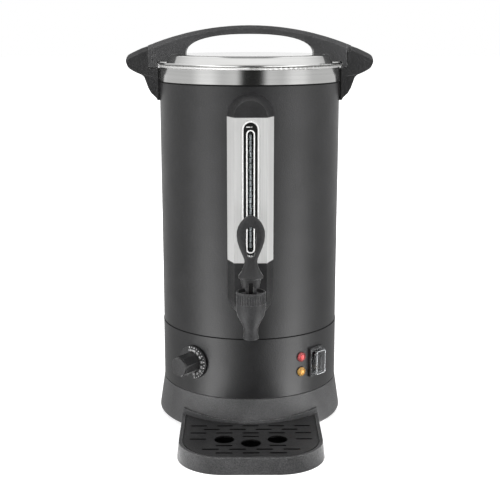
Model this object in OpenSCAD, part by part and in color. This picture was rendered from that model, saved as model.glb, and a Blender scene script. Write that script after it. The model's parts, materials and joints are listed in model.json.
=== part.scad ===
// Hot water urn: a double-walled boiler with a lever tap, a level gauge, a twist-lock lid,
// a control band and a drip tray. The axis of the vessel is Z, the floor is z = 0 and the tap faces -Y.

/* [Vessel] */
// Outer radius of the black outer shell
shell_r = 112; // [104:1:124]
// Height of the black outer shell
shell_h = 303; // [290:1:340]
// Sheet thickness of the shell, rim band and base band
shell_wall = 0.8; // [0.6:0.1:1.2]
// Height of the bare steel band between the shell and the lid
rim_h = 16.9; // [15:0.1:20]
// Gap between the shell and the tank inside it
tank_gap = 9.7; // [8:0.1:12]
// Sheet thickness of the tank
tank_wall = 0.8; // [0.6:0.1:1.2]
// Height of the tank floor above the lower edge of the shell
tank_floor_rise = 9; // [6:0.5:12]
// Radius of the rolled bead round the mouth of the tank
bead_r = 1.6; // [1.2:0.1:2]
// Width of the shadow gaps between the rings of the body
seam = 1.1; // [0.4:0.1:1.4]

/* [Base] */
// Height of the control band
band_h = 77.5; // [70:0.5:90]
// Height of the flared foot ring
foot_h = 44; // [36:1:52]
// How much further out the foot ring stands at its lower edge
foot_flare = 6.2; // [3:0.2:9]
// Wall thickness of the foot ring
foot_wall = 2.4; // [1.8:0.2:3]
// Height of the rubber feet under the foot ring
feet_h = 4; // [3:0.5:6]
// Radius of the circle that the feet stand on
feet_circle_r = 96; // [86:1:100]

/* [Lid] */
// Height of the dome above its flange
dome_h = 10.4; // [8:0.2:14]
// Sheet thickness of the lid
lid_wall = 0.8; // [0.6:0.1:1.2]
// Depth of the skirt that centres the lid in the tank
skirt_h = 9; // [6:0.5:14]
// Gap between the lid skirt and the tank
skirt_gap = 1.6; // [1:0.1:2.4]

/* [Handles] */
// Width of the arch and the ears, front to back
handle_w = 30; // [24:1:36]
// Height of the crown of the arch above the dome
arch_rise = 34.8; // [30:0.2:44]
// Thickness of the arch at its crown
arch_t = 10.4; // [8:0.2:14]
// Radius of the curve along the top of the arch and ears
arch_r = 335; // [300:5:400]
// Distance of the ends of the hand hold from the side of the shell
hold_inset = 33; // [30:1:40]
// Distance of the split between lid and ears out from the shell
split_out = 14; // [12.5:0.5:18]
// How far the tips of the ears stand out from the shell
ear_out = 40.5; // [36:0.5:52]
// Height of the ear bracket below the rim
bracket_h = 39; // [34:1:46]

/* [Level gauge] */
// Width of the flat front of the gauge housing
gauge_front_w = 38.8; // [36:0.2:44]
// How much wider the housing is where it meets the shell
gauge_spread = 13.6; // [8:0.2:18]
// How far the housing stands out from the shell
gauge_depth = 18; // [17:0.5:24]
// Height of the bottom of the steel cover above the lower edge of the shell
cover_bottom = 98.7; // [94:0.1:110]
// Distance of the top of the steel cover below the upper edge of the shell
cover_drop = 34.4; // [30:0.1:50]
// Width of the bright rim round the window
window_w = 20.2; // [18:0.2:22]
// Width of the bright line of that rim
window_rim = 2; // [1.2:0.2:2.4]
// Width of the clear lens in the black panel
lens_w = 10; // [8.6:0.2:12]
// Outer diameter of the gauge glass
glass_d = 6.4; // [5.6:0.2:7.2]
// Spacing of the dashes on the level scale
dash_pitch = 6.7; // [5:0.1:8]

/* [Tap] */
// Distance of the tap's upright axis from the shell
tap_reach = 50; // [47:0.5:58]
// Height of the tap shank above the lower edge of the shell
tap_rise = 47.5; // [45:0.5:50]
// Outer diameter of the threaded shank
shank_d = 16; // [14:0.5:18]
// Inner diameter of the shank
shank_bore = 11; // [8:0.5:12]
// Outer diameter of the tap body and its collar
tap_d = 34.4; // [33:0.2:38]
// Outer diameter of the nozzle
nozzle_d = 17.4; // [16.6:0.2:20]
// Inner diameter of the nozzle
nozzle_bore = 14.4; // [11:0.2:14.6]
// Height of the shank above the nozzle's lower end
nozzle_drop = 31.5; // [30:0.5:36]
// Diameter of the valve stem
stem_d = 4.6; // [4:0.1:4.8]
// Diameter of the lever pin
pin_d = 3; // [2.4:0.1:3.4]
// Height of the lever above the pin
lever_h = 83; // [76:1:100]
// Width of the lever loop at its widest
lever_w = 32.5; // [30:0.5:36]

/* [Controls] */
// Height of the switch above the lower edge of the control band
control_rise = 39.5; // [36:0.5:44]
// Height of the dial above the middle of the switch
dial_lift = 2; // [0:0.5:4]
// Angle of the dial from the front, to the left
dial_az = 38.5; // [36:0.5:46]
// Diameter of the dial skirt
dial_d = 42; // [38:0.5:46]
// Width of the octagonal grip over its flats
grip_w = 24; // [20:0.5:27]
// How far the grip stands out from the dial skirt
grip_h = 25.5; // [18:0.5:28]
// Diameter of the dial shaft
dial_shaft_d = 6; // [5:0.2:6.4]
// Angle of the two lamps from the front, to the right
lamp_az = 34; // [31:0.5:34.5]
// Diameter of the lamp lenses
lamp_d = 12; // [10:0.5:13]
// Distance between the two lamps
lamp_pitch = 19; // [17:0.5:22]
// Angle of the switch from the front, to the right
switch_az = 46; // [45.5:0.5:54]
// Width of the switch bezel
switch_w = 23; // [20:0.5:25]
// Height of the switch bezel
switch_h = 37; // [32:0.5:40]
// How far the clear boot stands out from the bezel
boot_h = 8; // [7:0.2:10]
// Half the swing of the rocker
rocker_tilt = 9; // [6:0.5:10]
// Inner diameter of the cable gland
gland_bore = 8; // [7:0.5:9]

/* [Drip tray] */
// Half the width of the tray at its foot
tray_half = 87.5; // [82:0.5:96]
// Distance of the tray front from the axis
tray_front = 229.7; // [216:0.1:240]
// Height of the tray
tray_h = 20; // [18:0.5:24]
// Draft of the tray sides from foot to rim
tray_draft = 2.2; // [1.4:0.2:4]
// Radius of the big front corners at the foot
tray_corner = 56; // [50:1:60]
// Wall thickness of the tray
tray_wall = 2; // [1.6:0.1:2.4]
// Thickness of the grille
grille_t = 2.4; // [2:0.2:3.2]
// Length of a drain slot
slot_l = 20; // [16:0.5:22]
// Width of a drain slot
slot_w = 3.4; // [2.4:0.2:4]
// Diameter of the three large drain holes
drain_d = 23.4; // [20:0.2:25]

/* [Hidden] */
$fn = 96;

// Clearances
hair = 0.1;          // between pieces that are fastened to each other
slack = 0.3;         // between pieces that move past each other
running = 0.05;      // radial gap of a shaft that turns in its bearing
tight = 0.02;        // radial gap of a pin pressed or screwed into its hole

// Heights from the floor up
band_z = feet_h + foot_h;
shell_z = band_z + band_h;
rim_z = shell_z + shell_h;
mouth_z = rim_z + seam + rim_h;
bead_z = mouth_z + bead_r;
flange_bead_r = 1.3;
flange_z = bead_z + bead_r + slack + flange_bead_r;
dome_z = flange_z + dome_h;
crown_z = dome_z + arch_rise;
tank_z = shell_z + tank_floor_rise;

// Radii
band_r = shell_r + 0.4;
foot_r = band_r + 0.2;
foot_low_r = foot_r + foot_flare;
tank_r = shell_r - shell_wall - tank_gap;
tank_in_r = tank_r - tank_wall;
mouth_r = shell_r - 0.4;
hold_half = shell_r - hold_inset;
split_r = shell_r + split_out;
ear_reach = shell_r + ear_out;
bead_out_r = mouth_r + bead_r;
flange_r = bead_out_r + 0.2;

black = "#2f2f30";
plastic = "#39393a";
steel = "#c9ccce";
silicone = "#b9b4ab";

// ---- Outline and solid helpers ----

function unit(v) = v / norm(v);
function left_of(v) = [-v[1], v[0]];
function reversed(p) = [for (i = [len(p) - 1:-1:0]) p[i]];
function arc(c, r, a0, a1, n = 8) =
    [for (i = [0:n]) let (a = a0 + (a1 - a0) * i / n) c + r * [cos(a), sin(a)]];

// The path moved to its left by t, with mitred corners
function beside(p, t) = [
    for (i = [0:len(p) - 1])
    let (
        before = i == 0 ? p[1] - p[0] : p[i] - p[i - 1],
        after = i == len(p) - 1 ? before : p[i + 1] - p[i],
        na = left_of(unit(before)),
        n = unit(na + left_of(unit(after)))
    )
    p[i] + n * t / (n * na)
];

// A closed outline of sheet metal of thickness t along a path
function sheet(p, t) = concat(p, reversed(beside(p, t)));

module tube(r, wall, h) {
    difference() {
        cylinder(r = r, h = h);
        translate([0, 0, -1]) cylinder(r = r - wall, h = h + 2);
    }
}

// A solid through a stack of rings of points, all with the same number of points
module loft(rings) {
    n = len(rings[0]);
    m = len(rings);
    sides = [
        for (k = [0:m - 2], i = [0:n - 1])
        let (a = k * n + i, b = k * n + (i + 1) % n)
        each [[a, b, b + n], [a, b + n, a + n]]
    ];
    bottom = [for (i = [1:n - 2]) [0, i + 1, i]];
    top = [for (i = [1:n - 2]) [0, i, i + 1] + (m - 1) * n * [1, 1, 1]];
    polyhedron(
        points = [for (r = rings) each r],
        faces = [for (f = concat(sides, bottom, top)) reversed(f)]
    );
}

// A round bar along a path: the ring is carried along without twist
function heading(p, i) =
    unit(p[min(i + 1, len(p) - 1)] - p[max(i - 1, 0)]);
function carried(p, i, u) =
    let (t = heading(p, i), v = unit(u - (u * t) * t))
    i == len(p) - 1 ? [v] : concat([v], carried(p, i + 1, v));
function crooked(t) = abs(t[2]) < 0.8 ? [0, 0, 1] : [1, 0, 0];
module bar(p, r, sides = 8) {
    side = carried(p, 0, crooked(heading(p, 0)));
    loft([
        for (i = [0:len(p) - 1])
        let (u = side[i], v = cross(heading(p, i), u))
        [for (k = [0:sides - 1]) p[i] + r * (cos(360 * k / sides) * u + sin(360 * k / sides) * v)]
    ]);
}

// A smooth path through chosen points
function blend_point(a, b, c, d, t) =
    0.5 * ((2 * b) + (c - a) * t + (2 * a - 5 * b + 4 * c - d) * t * t
        + (3 * b - a - 3 * c + d) * t * t * t);
function smooth(p, steps = 3) = concat(
    [
        for (i = [0:len(p) - 2], s = [0:steps - 1])
        blend_point(p[max(i - 1, 0)], p[i], p[i + 1], p[min(i + 2, len(p) - 1)], s / steps)
    ],
    [p[len(p) - 1]]
);

// Places children on the side of the body: az from the front towards +X, x across, z up, -y outwards
module at_side(az, r, z) {
    rotate([0, 0, az]) translate([0, -r, z]) children();
}

// Turns an upright shape so that its +Z points outwards, along -Y, and its +Y points up
module outwards() {
    rotate([90, 0, 0]) children();
}

module obround(w, h) {
    translate([-w / 2, -(h - w) / 2]) square([w, h - w]);
    for (s = [-1, 1]) translate([0, s * (h - w) / 2]) circle(d = w);
}

module mirrored() {
    children();
    mirror([1, 0, 0]) children();
}

// ---- Vessel ----

tap_y = -(shell_r + tap_reach);
tap_z = shell_z + tap_rise;
shank_hole_r = shank_d / 2 + hair;

module shank_hole() {
    translate([0, 0, tap_z]) outwards() cylinder(r = shank_hole_r, h = shell_r + 20);
}

ear_screw_d = 4;
ear_screw_len = 8;
ear_head_d = 7.4;
ear_screw_z = [rim_z - 15.4, rim_z - 7];

module ear_screw_holes() {
    for (z = ear_screw_z, s = [-1, 1])
        at_side(s * 90, 0, z) outwards() cylinder(d = ear_screw_d + 2 * hair, h = shell_r + 20);
}

module outer_shell() color(black) difference() {
    translate([0, 0, shell_z]) tube(shell_r, shell_wall, shell_h);
    shank_hole();
    ear_screw_holes();
}

rim_spigot = 6;

// The band drops inside the shell, which hides its lower edge in a shadow gap
module rim_band() color(steel) {
    translate([0, 0, rim_z + seam]) tube(shell_r, shell_wall, rim_h);
    difference() {
        translate([0, 0, rim_z - rim_spigot])
            tube(shell_r - shell_wall, shell_wall, rim_spigot + seam + rim_h);
        // notches that clear the heads of the upper ear screws
        for (s = [-1, 1]) at_side(s * 90, 0, ear_screw_z[1]) outwards()
            cylinder(d = ear_head_d + 2 * slack, h = shell_r - shell_wall / 2);
    }
}

tank_corner = 9;

module inner_tank() color(steel) {
    difference() {
        rotate_extrude() polygon(sheet(concat(
            [[0, tank_z]],
            arc([tank_r - tank_corner, tank_z + tank_corner], tank_corner, -90, 0),
            [[tank_r, mouth_z], [mouth_r, mouth_z]]
        ), tank_wall));
        shank_hole();
    }
    translate([0, 0, bead_z]) rotate_extrude() translate([mouth_r, 0]) circle(r = bead_r, $fn = 32);
}

// ---- Base ----

control_z = band_z + control_rise;
dial_z = control_z + dial_lift;
panel_wall = shell_wall + 0.4;
panel_in_r = band_r - panel_wall;
lamp_z = [control_z + lamp_pitch / 2, control_z - lamp_pitch / 2];
lamp_body_d = lamp_d - 2;
dial_bush_d = dial_shaft_d + 4;
switch_body_w = switch_w - 4;
switch_body_h = switch_h - 5;
gland_d = gland_bore + 8;
gland_z = control_z;

spigot_r = shell_r - shell_wall - hair;
spigot_h = 8;

// The band steps in at its top, and this spigot centres the outer shell
module base_band() color(black) difference() {
    rotate_extrude() polygon([
        [panel_in_r, band_z + seam], [band_r, band_z + seam], [band_r, shell_z - seam],
        [spigot_r, shell_z - seam], [spigot_r, shell_z + spigot_h],
        [spigot_r - shell_wall, shell_z + spigot_h], [spigot_r - shell_wall, shell_z - seam - 1],
        [panel_in_r, shell_z - seam - 3]
    ]);
    at_side(-dial_az, 0, dial_z) outwards() cylinder(d = dial_bush_d + 2 * hair, h = band_r + 5);
    for (z = lamp_z)
        at_side(lamp_az, 0, z) outwards() cylinder(d = lamp_body_d + 2 * hair, h = band_r + 5);
    at_side(switch_az, band_r, control_z) cube([
        switch_body_w + 2 * hair, 20, switch_body_h + 2 * hair
    ], center = true);
    at_side(180, 0, gland_z) outwards() cylinder(d = gland_d + 2 * hair, h = band_r + 5);
}

vent_az = [60, 120, 180, 240, 300];
foot_lip = 5;
plate_z = 8;
plate_t = 1.2;

function foot_outer_r(z) = foot_low_r - foot_flare * (z - feet_h) / foot_h;

module foot_ring() color(plastic) difference() {
    rotate_extrude() polygon(concat(
        [[foot_outer_r(plate_z + plate_t) - foot_wall - 4, plate_z + plate_t]],
        [[foot_outer_r(plate_z + plate_t) - foot_wall - 4, plate_z + plate_t + 3]],
        [[foot_outer_r(band_z) - foot_wall - 0.8, band_z - 6]],
        [[panel_in_r - hair - foot_wall, band_z], [panel_in_r - hair - foot_wall, band_z + foot_lip]],
        [[panel_in_r - hair, band_z + foot_lip], [panel_in_r - hair, band_z], [foot_r, band_z]],
        [for (p = arc([foot_low_r - 3, feet_h + 3], 3, 10, -60, 5)) p],
        [[foot_low_r - foot_wall, feet_h]],
        [[foot_outer_r(plate_z) - foot_wall, plate_z + plate_t]]
    ));
    for (az = vent_az)
        at_side(az, foot_low_r, feet_h) cube([5, 12, 3], center = true);
    screw_places() translate([0, 0, plate_z]) cylinder(d = 3.2, h = 14);
}

screw_az = [30, 150, 270];
screw_circle_r = foot_low_r - foot_wall - 4.2;

module screw_places() {
    for (az = screw_az) at_side(az, screw_circle_r, 0) children();
}

tie_d = 6;
foot_d = 18;
foot_stem_d = 7;
reset_xy = [-40, 30];
reset_d = 9;

module feet_places() {
    for (az = [45, 135, 225, 315]) at_side(az, feet_circle_r, 0) children();
}

module base_plate() color(steel) difference() {
    translate([0, 0, plate_z]) cylinder(r = screw_circle_r + 3.4, h = plate_t);
    feet_places() cylinder(d = foot_stem_d + 2 * hair, h = 2 * plate_z);
    screw_places() cylinder(d = 3.6, h = 2 * plate_z);
    cylinder(d = tie_d + 2 * hair, h = 2 * plate_z);
    translate([reset_xy[0], reset_xy[1], 0]) cylinder(d = reset_d + 4 * slack, h = 2 * plate_z);
}

module feet() color("#1c1c1c") feet_places() {
    cylinder(d1 = foot_d - 2, d2 = foot_d, h = plate_z);
    cylinder(d = foot_stem_d, h = plate_z + plate_t + 1);
    translate([0, 0, plate_z + plate_t]) cylinder(d = foot_stem_d + 3, h = 2);
}

module base_screws() color(steel) screw_places() {
    translate([0, 0, plate_z - 2]) cylinder(d = 5.6, h = 2);
    translate([0, 0, plate_z - 2]) cylinder(d = 3, h = 13);
}

heat_t = 5;
heat_r = 74;
element_r = 56;
element_d = 8.5;
tie_top = tank_z - heat_t;

// The rod hangs from the heat plate and its nut pulls the base plate up against the foot ring
module tie_rod() color(steel) {
    translate([0, 0, plate_z - 7]) cylinder(d = tie_d, h = tie_top - plate_z + 7);
}

module tie_nut() color(steel) difference() {
    translate([0, 0, plate_z - 5]) union() {
        cylinder(d = 11.5, h = 5, $fn = 6);
        translate([0, 0, 4]) cylinder(d = 14, h = 1);
    }
    cylinder(d = tie_d + 2 * hair, h = 2 * plate_z);
}

module heat_plate() color("#a8abad") difference() {
    translate([0, 0, tie_top]) cylinder(r = heat_r, h = heat_t - hair);
    translate([0, 0, tie_top - element_d / 2 + 1]) rotate_extrude()
        translate([element_r, 0]) circle(d = element_d + 2 * hair, $fn = 48);
}

// Three quarters of a ring, with two cold ends that turn down to the leads
element_z = tie_top - element_d / 2 + 1;
element_gap = 40;

module heating_element() color("#8d8f90") {
    translate([0, 0, element_z]) rotate_extrude(start = 90 + element_gap / 2, angle = 360 - element_gap)
        translate([element_r, 0]) circle(d = element_d, $fn = 48);
    for (s = [-1, 1]) rotate([0, 0, s * element_gap / 2]) translate([0, element_r, element_z]) {
        sphere(d = element_d + hair, $fn = 48);
        translate([0, 0, -20]) cylinder(d = element_d - 1, h = 20);
        translate([0, 0, -28]) cylinder(d = 3, h = 10);
    }
}

// ---- Electrics inside the base ----

thermostat_depth = 20;
bush_len = 12;

module thermostat() color("#cfc9bd") at_side(-dial_az, panel_in_r - 4, dial_z) difference() {
    union() {
        translate([-18, 2, -16]) cube([36, thermostat_depth, 32]);
        translate([0, 3, 0]) outwards() cylinder(d = dial_bush_d, h = bush_len - 1);
        translate([-14, 0.6, -20]) cube([28, 2, 40]);
    }
    translate([0, 10, 0]) outwards() cylinder(d = dial_shaft_d + 2 * running, h = 30);
}

dial_back = 1.2;
dial_skirt_t = 2.6;
grip_top = dial_back + dial_skirt_t + grip_h;
shaft_depth = 8;

module dial_shaft() color(steel) at_side(-dial_az, band_r + grip_top - 4, dial_z)
    rotate([-90, 0, 0]) cylinder(d = dial_shaft_d, h = grip_top - 4 + panel_wall + shaft_depth);

module dial_knob() color(plastic) at_side(-dial_az, band_r, dial_z) difference() {
    outwards() {
        translate([0, 0, dial_back]) cylinder(d = dial_d, h = 1.4);
        translate([0, 0, dial_back + 1.4]) cylinder(d1 = dial_d, d2 = dial_d - 1.2, h = dial_skirt_t - 1.4);
        translate([0, 0, dial_back + 1]) rotate([0, 0, 15])
            cylinder(d = grip_w / cos(22.5), h = grip_h + dial_skirt_t - 3, $fn = 8);
        translate([0, 0, grip_top - 3]) cylinder(d1 = grip_w, d2 = grip_w - 1.6, h = 3);
    }
    outwards() translate([0, 0, dial_back - 1])
        cylinder(d = dial_shaft_d + 2 * tight, h = grip_top - 4 - dial_back + 1);
    outwards() translate([0, 0, dial_back - 1])
        cylinder(d = dial_bush_d + 4 * slack, h = bush_len - 4 - panel_wall - dial_back + 2);
}

module lamp(z, tint) color(tint) at_side(lamp_az, band_r, z) outwards() {
    translate([0, 0, -20]) cylinder(d = lamp_body_d, h = 20.5);
    translate([0, 0, 0.4]) cylinder(d = lamp_d, h = 1.4);
    intersection() {
        translate([0, 0, 1.8 - lamp_d * 0.6]) sphere(d = lamp_d * sqrt(1 + 1.2 * 1.2));
        translate([0, 0, 1.6]) cylinder(d = lamp_d, h = 6);
    }
    translate([0, 0, -26]) cylinder(d = 3, h = 6);
}

module red_lamp() lamp(lamp_z[0], "#c8323c");
module amber_lamp() lamp(lamp_z[1], "#e0902c");

bezel_t = 3;
bezel_back = 0.6;
well_w = switch_w - 7.4;
well_h = switch_h - 10;
well_depth = 13;
rocker_w = well_w - 2 * slack;
rocker_half = well_h / 2 - 1.6;
pivot_d = 3;
pivot_in = 2.2;

module switch_frame() color("#1f1f20") at_side(switch_az, band_r, control_z) difference() {
    union() {
        // the back of the bezel is hollowed to the curve of the band
        difference() {
            outwards() translate([-switch_w / 2, -switch_h / 2, -bezel_back])
                cube([switch_w, switch_h, bezel_t + bezel_back]);
            translate([0, band_r, -switch_h]) cylinder(r = band_r + hair, h = 2 * switch_h);
        }
        outwards() translate([-switch_body_w / 2, -switch_body_h / 2, -17])
            cube([switch_body_w, switch_body_h, 18]);
        for (x = [-4, 4], z = [-9, 0, 9]) outwards() translate([x, z, -24]) translate([-0.4, -2.4, 0])
            cube([0.8, 4.8, 8]);
    }
    outwards() translate([-well_w / 2, -well_h / 2, bezel_t - well_depth])
        cube([well_w, well_h, well_depth + 1]);
    translate([-switch_body_w / 2 + 0.6, -(bezel_t - pivot_in), 0]) rotate([0, 90, 0])
        cylinder(d = pivot_d + 2 * running, h = switch_body_w - 1.2);
}

// At rest the lower end is pressed in, which is off
module switch_rocker() color("#151515") at_side(switch_az, band_r, control_z)
    translate([0, -(bezel_t - pivot_in), 0]) rotate([rocker_tilt, 0, 0]) {
        rotate([90, 0, 90]) linear_extrude(rocker_w, center = true) polygon([
            [4.5, -rocker_half * 0.55], [-3.3, -rocker_half], [-4.5, -rocker_half],
            [-3, 0], [-4.5, rocker_half], [-3.3, rocker_half], [4.5, rocker_half * 0.55]
        ]);
        rotate([0, 90, 0]) cylinder(d = pivot_d, h = switch_body_w - 1.6, center = true);
    }

boot_wall = 0.9;
boot_w = switch_w - 4.4;
boot_len = switch_h - 5;

module boot_form(w, l, h) {
    linear_extrude(h - 1.6) square([w, l], center = true);
    translate([0, 0, h - 1.6]) linear_extrude(1.6) square([w - 2, l - 2], center = true);
}

module switch_boot() color("#d7dde055") at_side(switch_az, band_r + bezel_t, control_z) outwards()
    difference() {
        union() {
            boot_form(boot_w, boot_len, boot_h);
            linear_extrude(1) square([boot_w + 2, boot_len + 2], center = true);
        }
        translate([0, 0, -1])
            boot_form(boot_w - 2 * boot_wall, boot_len - 2 * boot_wall, boot_h + 1 - boot_wall);
    }

clamp_back = 1;

module cable_gland() color("#1f1f20") at_side(180, band_r, gland_z) outwards() difference() {
    union() {
        translate([0, 0, -12]) cylinder(d = gland_d, h = 14);
        translate([0, 0, bezel_back]) cylinder(d = gland_d + 7, h = 4, $fn = 6);
        translate([0, 0, 4]) cylinder(d1 = gland_d + 3, d2 = gland_d - 2, h = 8);
        translate([0, 0, -panel_wall - 1.6 - 4]) cylinder(d = gland_d + 7, h = 4, $fn = 6);
    }
    // the outer part clamps the mains lead, the inner part is wider
    cylinder(d = gland_bore, h = 14);
    translate([0, 0, -14]) cylinder(d = gland_bore + 2, h = 14 + clamp_back);
}

deck_z = plate_z + plate_t;
block_y = 62;
block_h = 17;
block_w = 44;
block_d = 18;
block_pitch = 14;

module terminal_block() color("#d8d2c4") translate([0, block_y, deck_z]) difference() {
    translate([-block_w / 2, -block_d / 2, 0]) cube([block_w, block_d, block_h]);
    for (x = block_pitch * [-1, 0, 1]) translate([x, 0, block_h - 9]) {
        translate([0, block_d / 2 + 3, 0]) rotate([90, 0, 0]) cylinder(d = 3.4, h = block_d + 6);
        cylinder(d = 4.2, h = 12);
    }
}

cutout_h = 22;
cutout_w = 36;
cutout_d = 28;

module thermal_cutout() color("#cfc9bd") translate([reset_xy[0], reset_xy[1], deck_z]) difference() {
    union() {
        translate([-cutout_w / 2, -cutout_d / 2, 0]) cube([cutout_w, cutout_d, cutout_h]);
        for (x = [-8, 8]) translate([x - 0.4, -3, cutout_h]) cube([0.8, 6, 8]);
    }
    translate([0, 0, -1]) cylinder(d = reset_d + 2 * running, h = 13);
}

reset_proud = 3;

module reset_button() color("#a3262a") translate([reset_xy[0], reset_xy[1], plate_z - reset_proud]) {
    cylinder(d = reset_d, h = reset_proud + plate_t + 9);
}

bulb_y = -34;
bulb_len = 50;
bulb_z = tie_top - 3.4;

// A bulb under the heat plate, with its thin pipe down to the thermostat
module sensor_bulb() color("#b98a5a") {
    translate([-bulb_len / 2, bulb_y, bulb_z]) rotate([0, 90, 0]) cylinder(d = 6, h = bulb_len);
    bar(smooth([
        [-bulb_len / 2 + 1, bulb_y, bulb_z], [-bulb_len / 2 - 4, bulb_y, bulb_z - 1.2],
        [-bulb_len / 2 - 8, bulb_y - 1, bulb_z - 6], [-bulb_len / 2 - 11, bulb_y - 2.5, bulb_z - 12],
        thermostat_top + [9, 19, 9], thermostat_top + [0.8, 1.6, 7],
        thermostat_top + [0, 0, 2], thermostat_top
    ]), 0.9, 6);
}

function beside_axis(az, r, z) = [r * sin(az), -r * cos(az), z];
thermostat_top = beside_axis(-dial_az, panel_in_r - 18, dial_z + 16.2);
thermostat_back = beside_axis(-dial_az, panel_in_r - 26.2, dial_z);
switch_back = beside_axis(switch_az, band_r - 24.2, control_z);
block_top = [0, block_y, deck_z + block_h];
cutout_top = [reset_xy[0], reset_xy[1], deck_z + cutout_h + 8.2];
element_pin = [for (s = [-1, 1]) [
    -s * element_r * sin(element_gap / 2), element_r * cos(element_gap / 2), element_z - 28.2
]];
lead_d = 2.8;
room = panel_in_r / 111.2;

// A point on the way of a lead through the base, which moves with the width of the vessel
function way(x, y, z) = [x * room, y * room, z];

module lead(p) {
    bar(smooth(p), lead_d / 2);
}

// Live to the switch, on to the thermostat, the cut-out and the element, then back to neutral
module wiring() color("#7a2f2a") {
    lead([
        block_top + [block_pitch, -block_d / 2 - 0.2, -9], way(16, 46, 20), way(30, 10, 34), way(52, -26, 60),
        switch_back + [-3, 8, -9], switch_back + [0.6, -0.4, -9]
    ]);
    lead([
        switch_back + [0.6, -0.4, 9], way(46, -34, 100), way(10, -44, 104), way(-26, -44, 98),
        thermostat_back + [9, 8, 6], thermostat_back + [0, 0, 6]
    ]);
    lead([
        thermostat_back + [0, 0, -6], way(-44, -38, 74), way(-40, -6, 60), way(-34, 20, 56),
        cutout_top + [8, 0, 10], cutout_top + [8, 0, 0]
    ]);
    lead([
        cutout_top + [-8, 0, 0], cutout_top + [-8, 2, 12], way(-46, 44, 66), way(-30, 54, 80),
        element_pin[1] + [0, 0, -10], element_pin[1]
    ]);
    lead([
        block_top + [-block_pitch, -block_d / 2 - 0.2, -9], way(-13, 42, 22), way(6, 36, 40), way(22, 44, 66),
        element_pin[0] + [0, 0, -10], element_pin[0]
    ]);
    lead([
        block_top + [0, -block_d / 2 - 0.2, -9], way(1, 44, 14), way(20, 24, 14), way(46, 16, 11.2),
        way(56, 10, 10.8), way(64, 6, 10.7)
    ]);
    for (z = lamp_z) lead([
        beside_axis(lamp_az, band_r - 26.2, z), beside_axis(lamp_az, band_r - 34, z - 1),
        beside_axis(lamp_az + 8, band_r - 42, z - 6), beside_axis(lamp_az + 14, band_r - 34, control_z),
        switch_back + [-0.8, 0.8, 0]
    ]);
}

// ---- Lid ----

dome_side_r = flange_r - 10.4;
dome_shoulder_r = dome_side_r - 3.6;
crown_soft = 36;

// The outer face of the lid, from the flange inwards and up to the middle
dome_path = concat(
    [[flange_r - 0.4, flange_z]],
    arc([dome_side_r + 1.2, flange_z + 1.6], 1.6, -90, -160, 3),
    arc([dome_shoulder_r - 3.4, dome_z - 4], 3.4, 20, 80, 5),
    arc(
        [dome_shoulder_r - 3.4 - crown_soft * cos(80), dome_z - 4 - crown_soft * sin(80)],
        crown_soft + 3.4, 83, 89, 3
    ),
    [[0, dome_z + 0.4]]
);

module lid_dome() color(steel) {
    difference() {
        rotate_extrude() polygon([for (p = sheet(dome_path, lid_wall)) [max(p[0], 0), p[1]]]);
        lid_screw_places() cylinder(d = 5.2, h = 2 * crown_z);
    }
    translate([0, 0, flange_z]) rotate_extrude()
        translate([flange_r - flange_bead_r + 0.9, 0]) circle(r = flange_bead_r, $fn = 32);
}

skirt_r = tank_in_r - skirt_gap;
liner_z = flange_z - flange_bead_r + 0.2;
gasket_t = 2.2;

// A shallow inner pan that closes the hollow of the lid and hangs a skirt into the tank
module lid_liner() color(steel) difference() {
    rotate_extrude() polygon(sheet([
        [skirt_r - 1.4, liner_z - skirt_h], [skirt_r, liner_z - skirt_h + 1.4], [skirt_r, liner_z - 5.4],
        [skirt_r - gasket_t, liner_z - 5.4], [skirt_r - gasket_t, liner_z - 2], [skirt_r, liner_z - 2],
        [skirt_r, liner_z - 0.6], [skirt_r - 2, liner_z], [0, liner_z]
    ], lid_wall));
    lid_screw_places() cylinder(d = 12, h = 2 * crown_z);
}

// A soft ring in the groove of the skirt: it lifts with the lid and lets the lid turn
module lid_gasket() color(silicone) translate([0, 0, liner_z - 5.4 + slack]) difference() {
    cylinder(r = tank_in_r - slack, h = 3.4 - 2 * slack);
    translate([0, 0, -1]) cylinder(r = skirt_r - gasket_t + slack, h = 5);
}

lid_screw_x = hold_half + 9;

module lid_screw_places() {
    for (s = [-1, 1]) translate([s * lid_screw_x, 0, 0]) children();
}

module lid_screws() color(steel) lid_screw_places() {
    translate([0, 0, dome_z - lid_wall - 5]) cylinder(d = 9, h = 2.6);
    translate([0, 0, dome_z - lid_wall - 5]) cylinder(d = 5, h = 14);
    translate([0, 0, dome_z - lid_wall - 2.4]) cylinder(d = 11, h = 1.2);
}

// Top of the arch and of the ears at a distance x from the middle
function arch_top(x) = crown_z - arch_r + sqrt(arch_r * arch_r - x * x);

// Roof of the hand hold under the arch
hold_power = 2.35;
function hold_top(x) = dome_z + (arch_rise - arch_t)
    * pow(max(0, 1 - pow(abs(x) / hold_half, hold_power)), 1 / hold_power);

// A slice of the handle across x, with bevelled upper edges
function slice(x, low, high, bevel, soft = 1.2) =
    let (w = handle_w / 2, b = min(bevel, (high - low) / 2.4), s = min(soft, (high - low) / 4))
    [
        [x, -w + s, low], [x, w - s, low], [x, w, low + s], [x, w, high - b],
        [x, w - 0.8 * b, high], [x, -w + 0.8 * b, high], [x, -w, high - b], [x, -w, low + s]
    ];

bevel_mid = 3;
bevel_end = 5.5;
function bevel_at(x) = bevel_mid + (bevel_end - bevel_mid) * min(1, abs(x) / (split_r - 6));

// Places of the slices of the arch, as a share of the way from the middle to the end of the hand hold
arch_stations = [0, 0.15, 0.3, 0.455, 0.58, 0.695, 0.785, 0.86, 0.92, 0.962, 0.987, 0.9985];
lug_x = flange_r + 1.2;
lug_z = mouth_z - 1.4;

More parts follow.
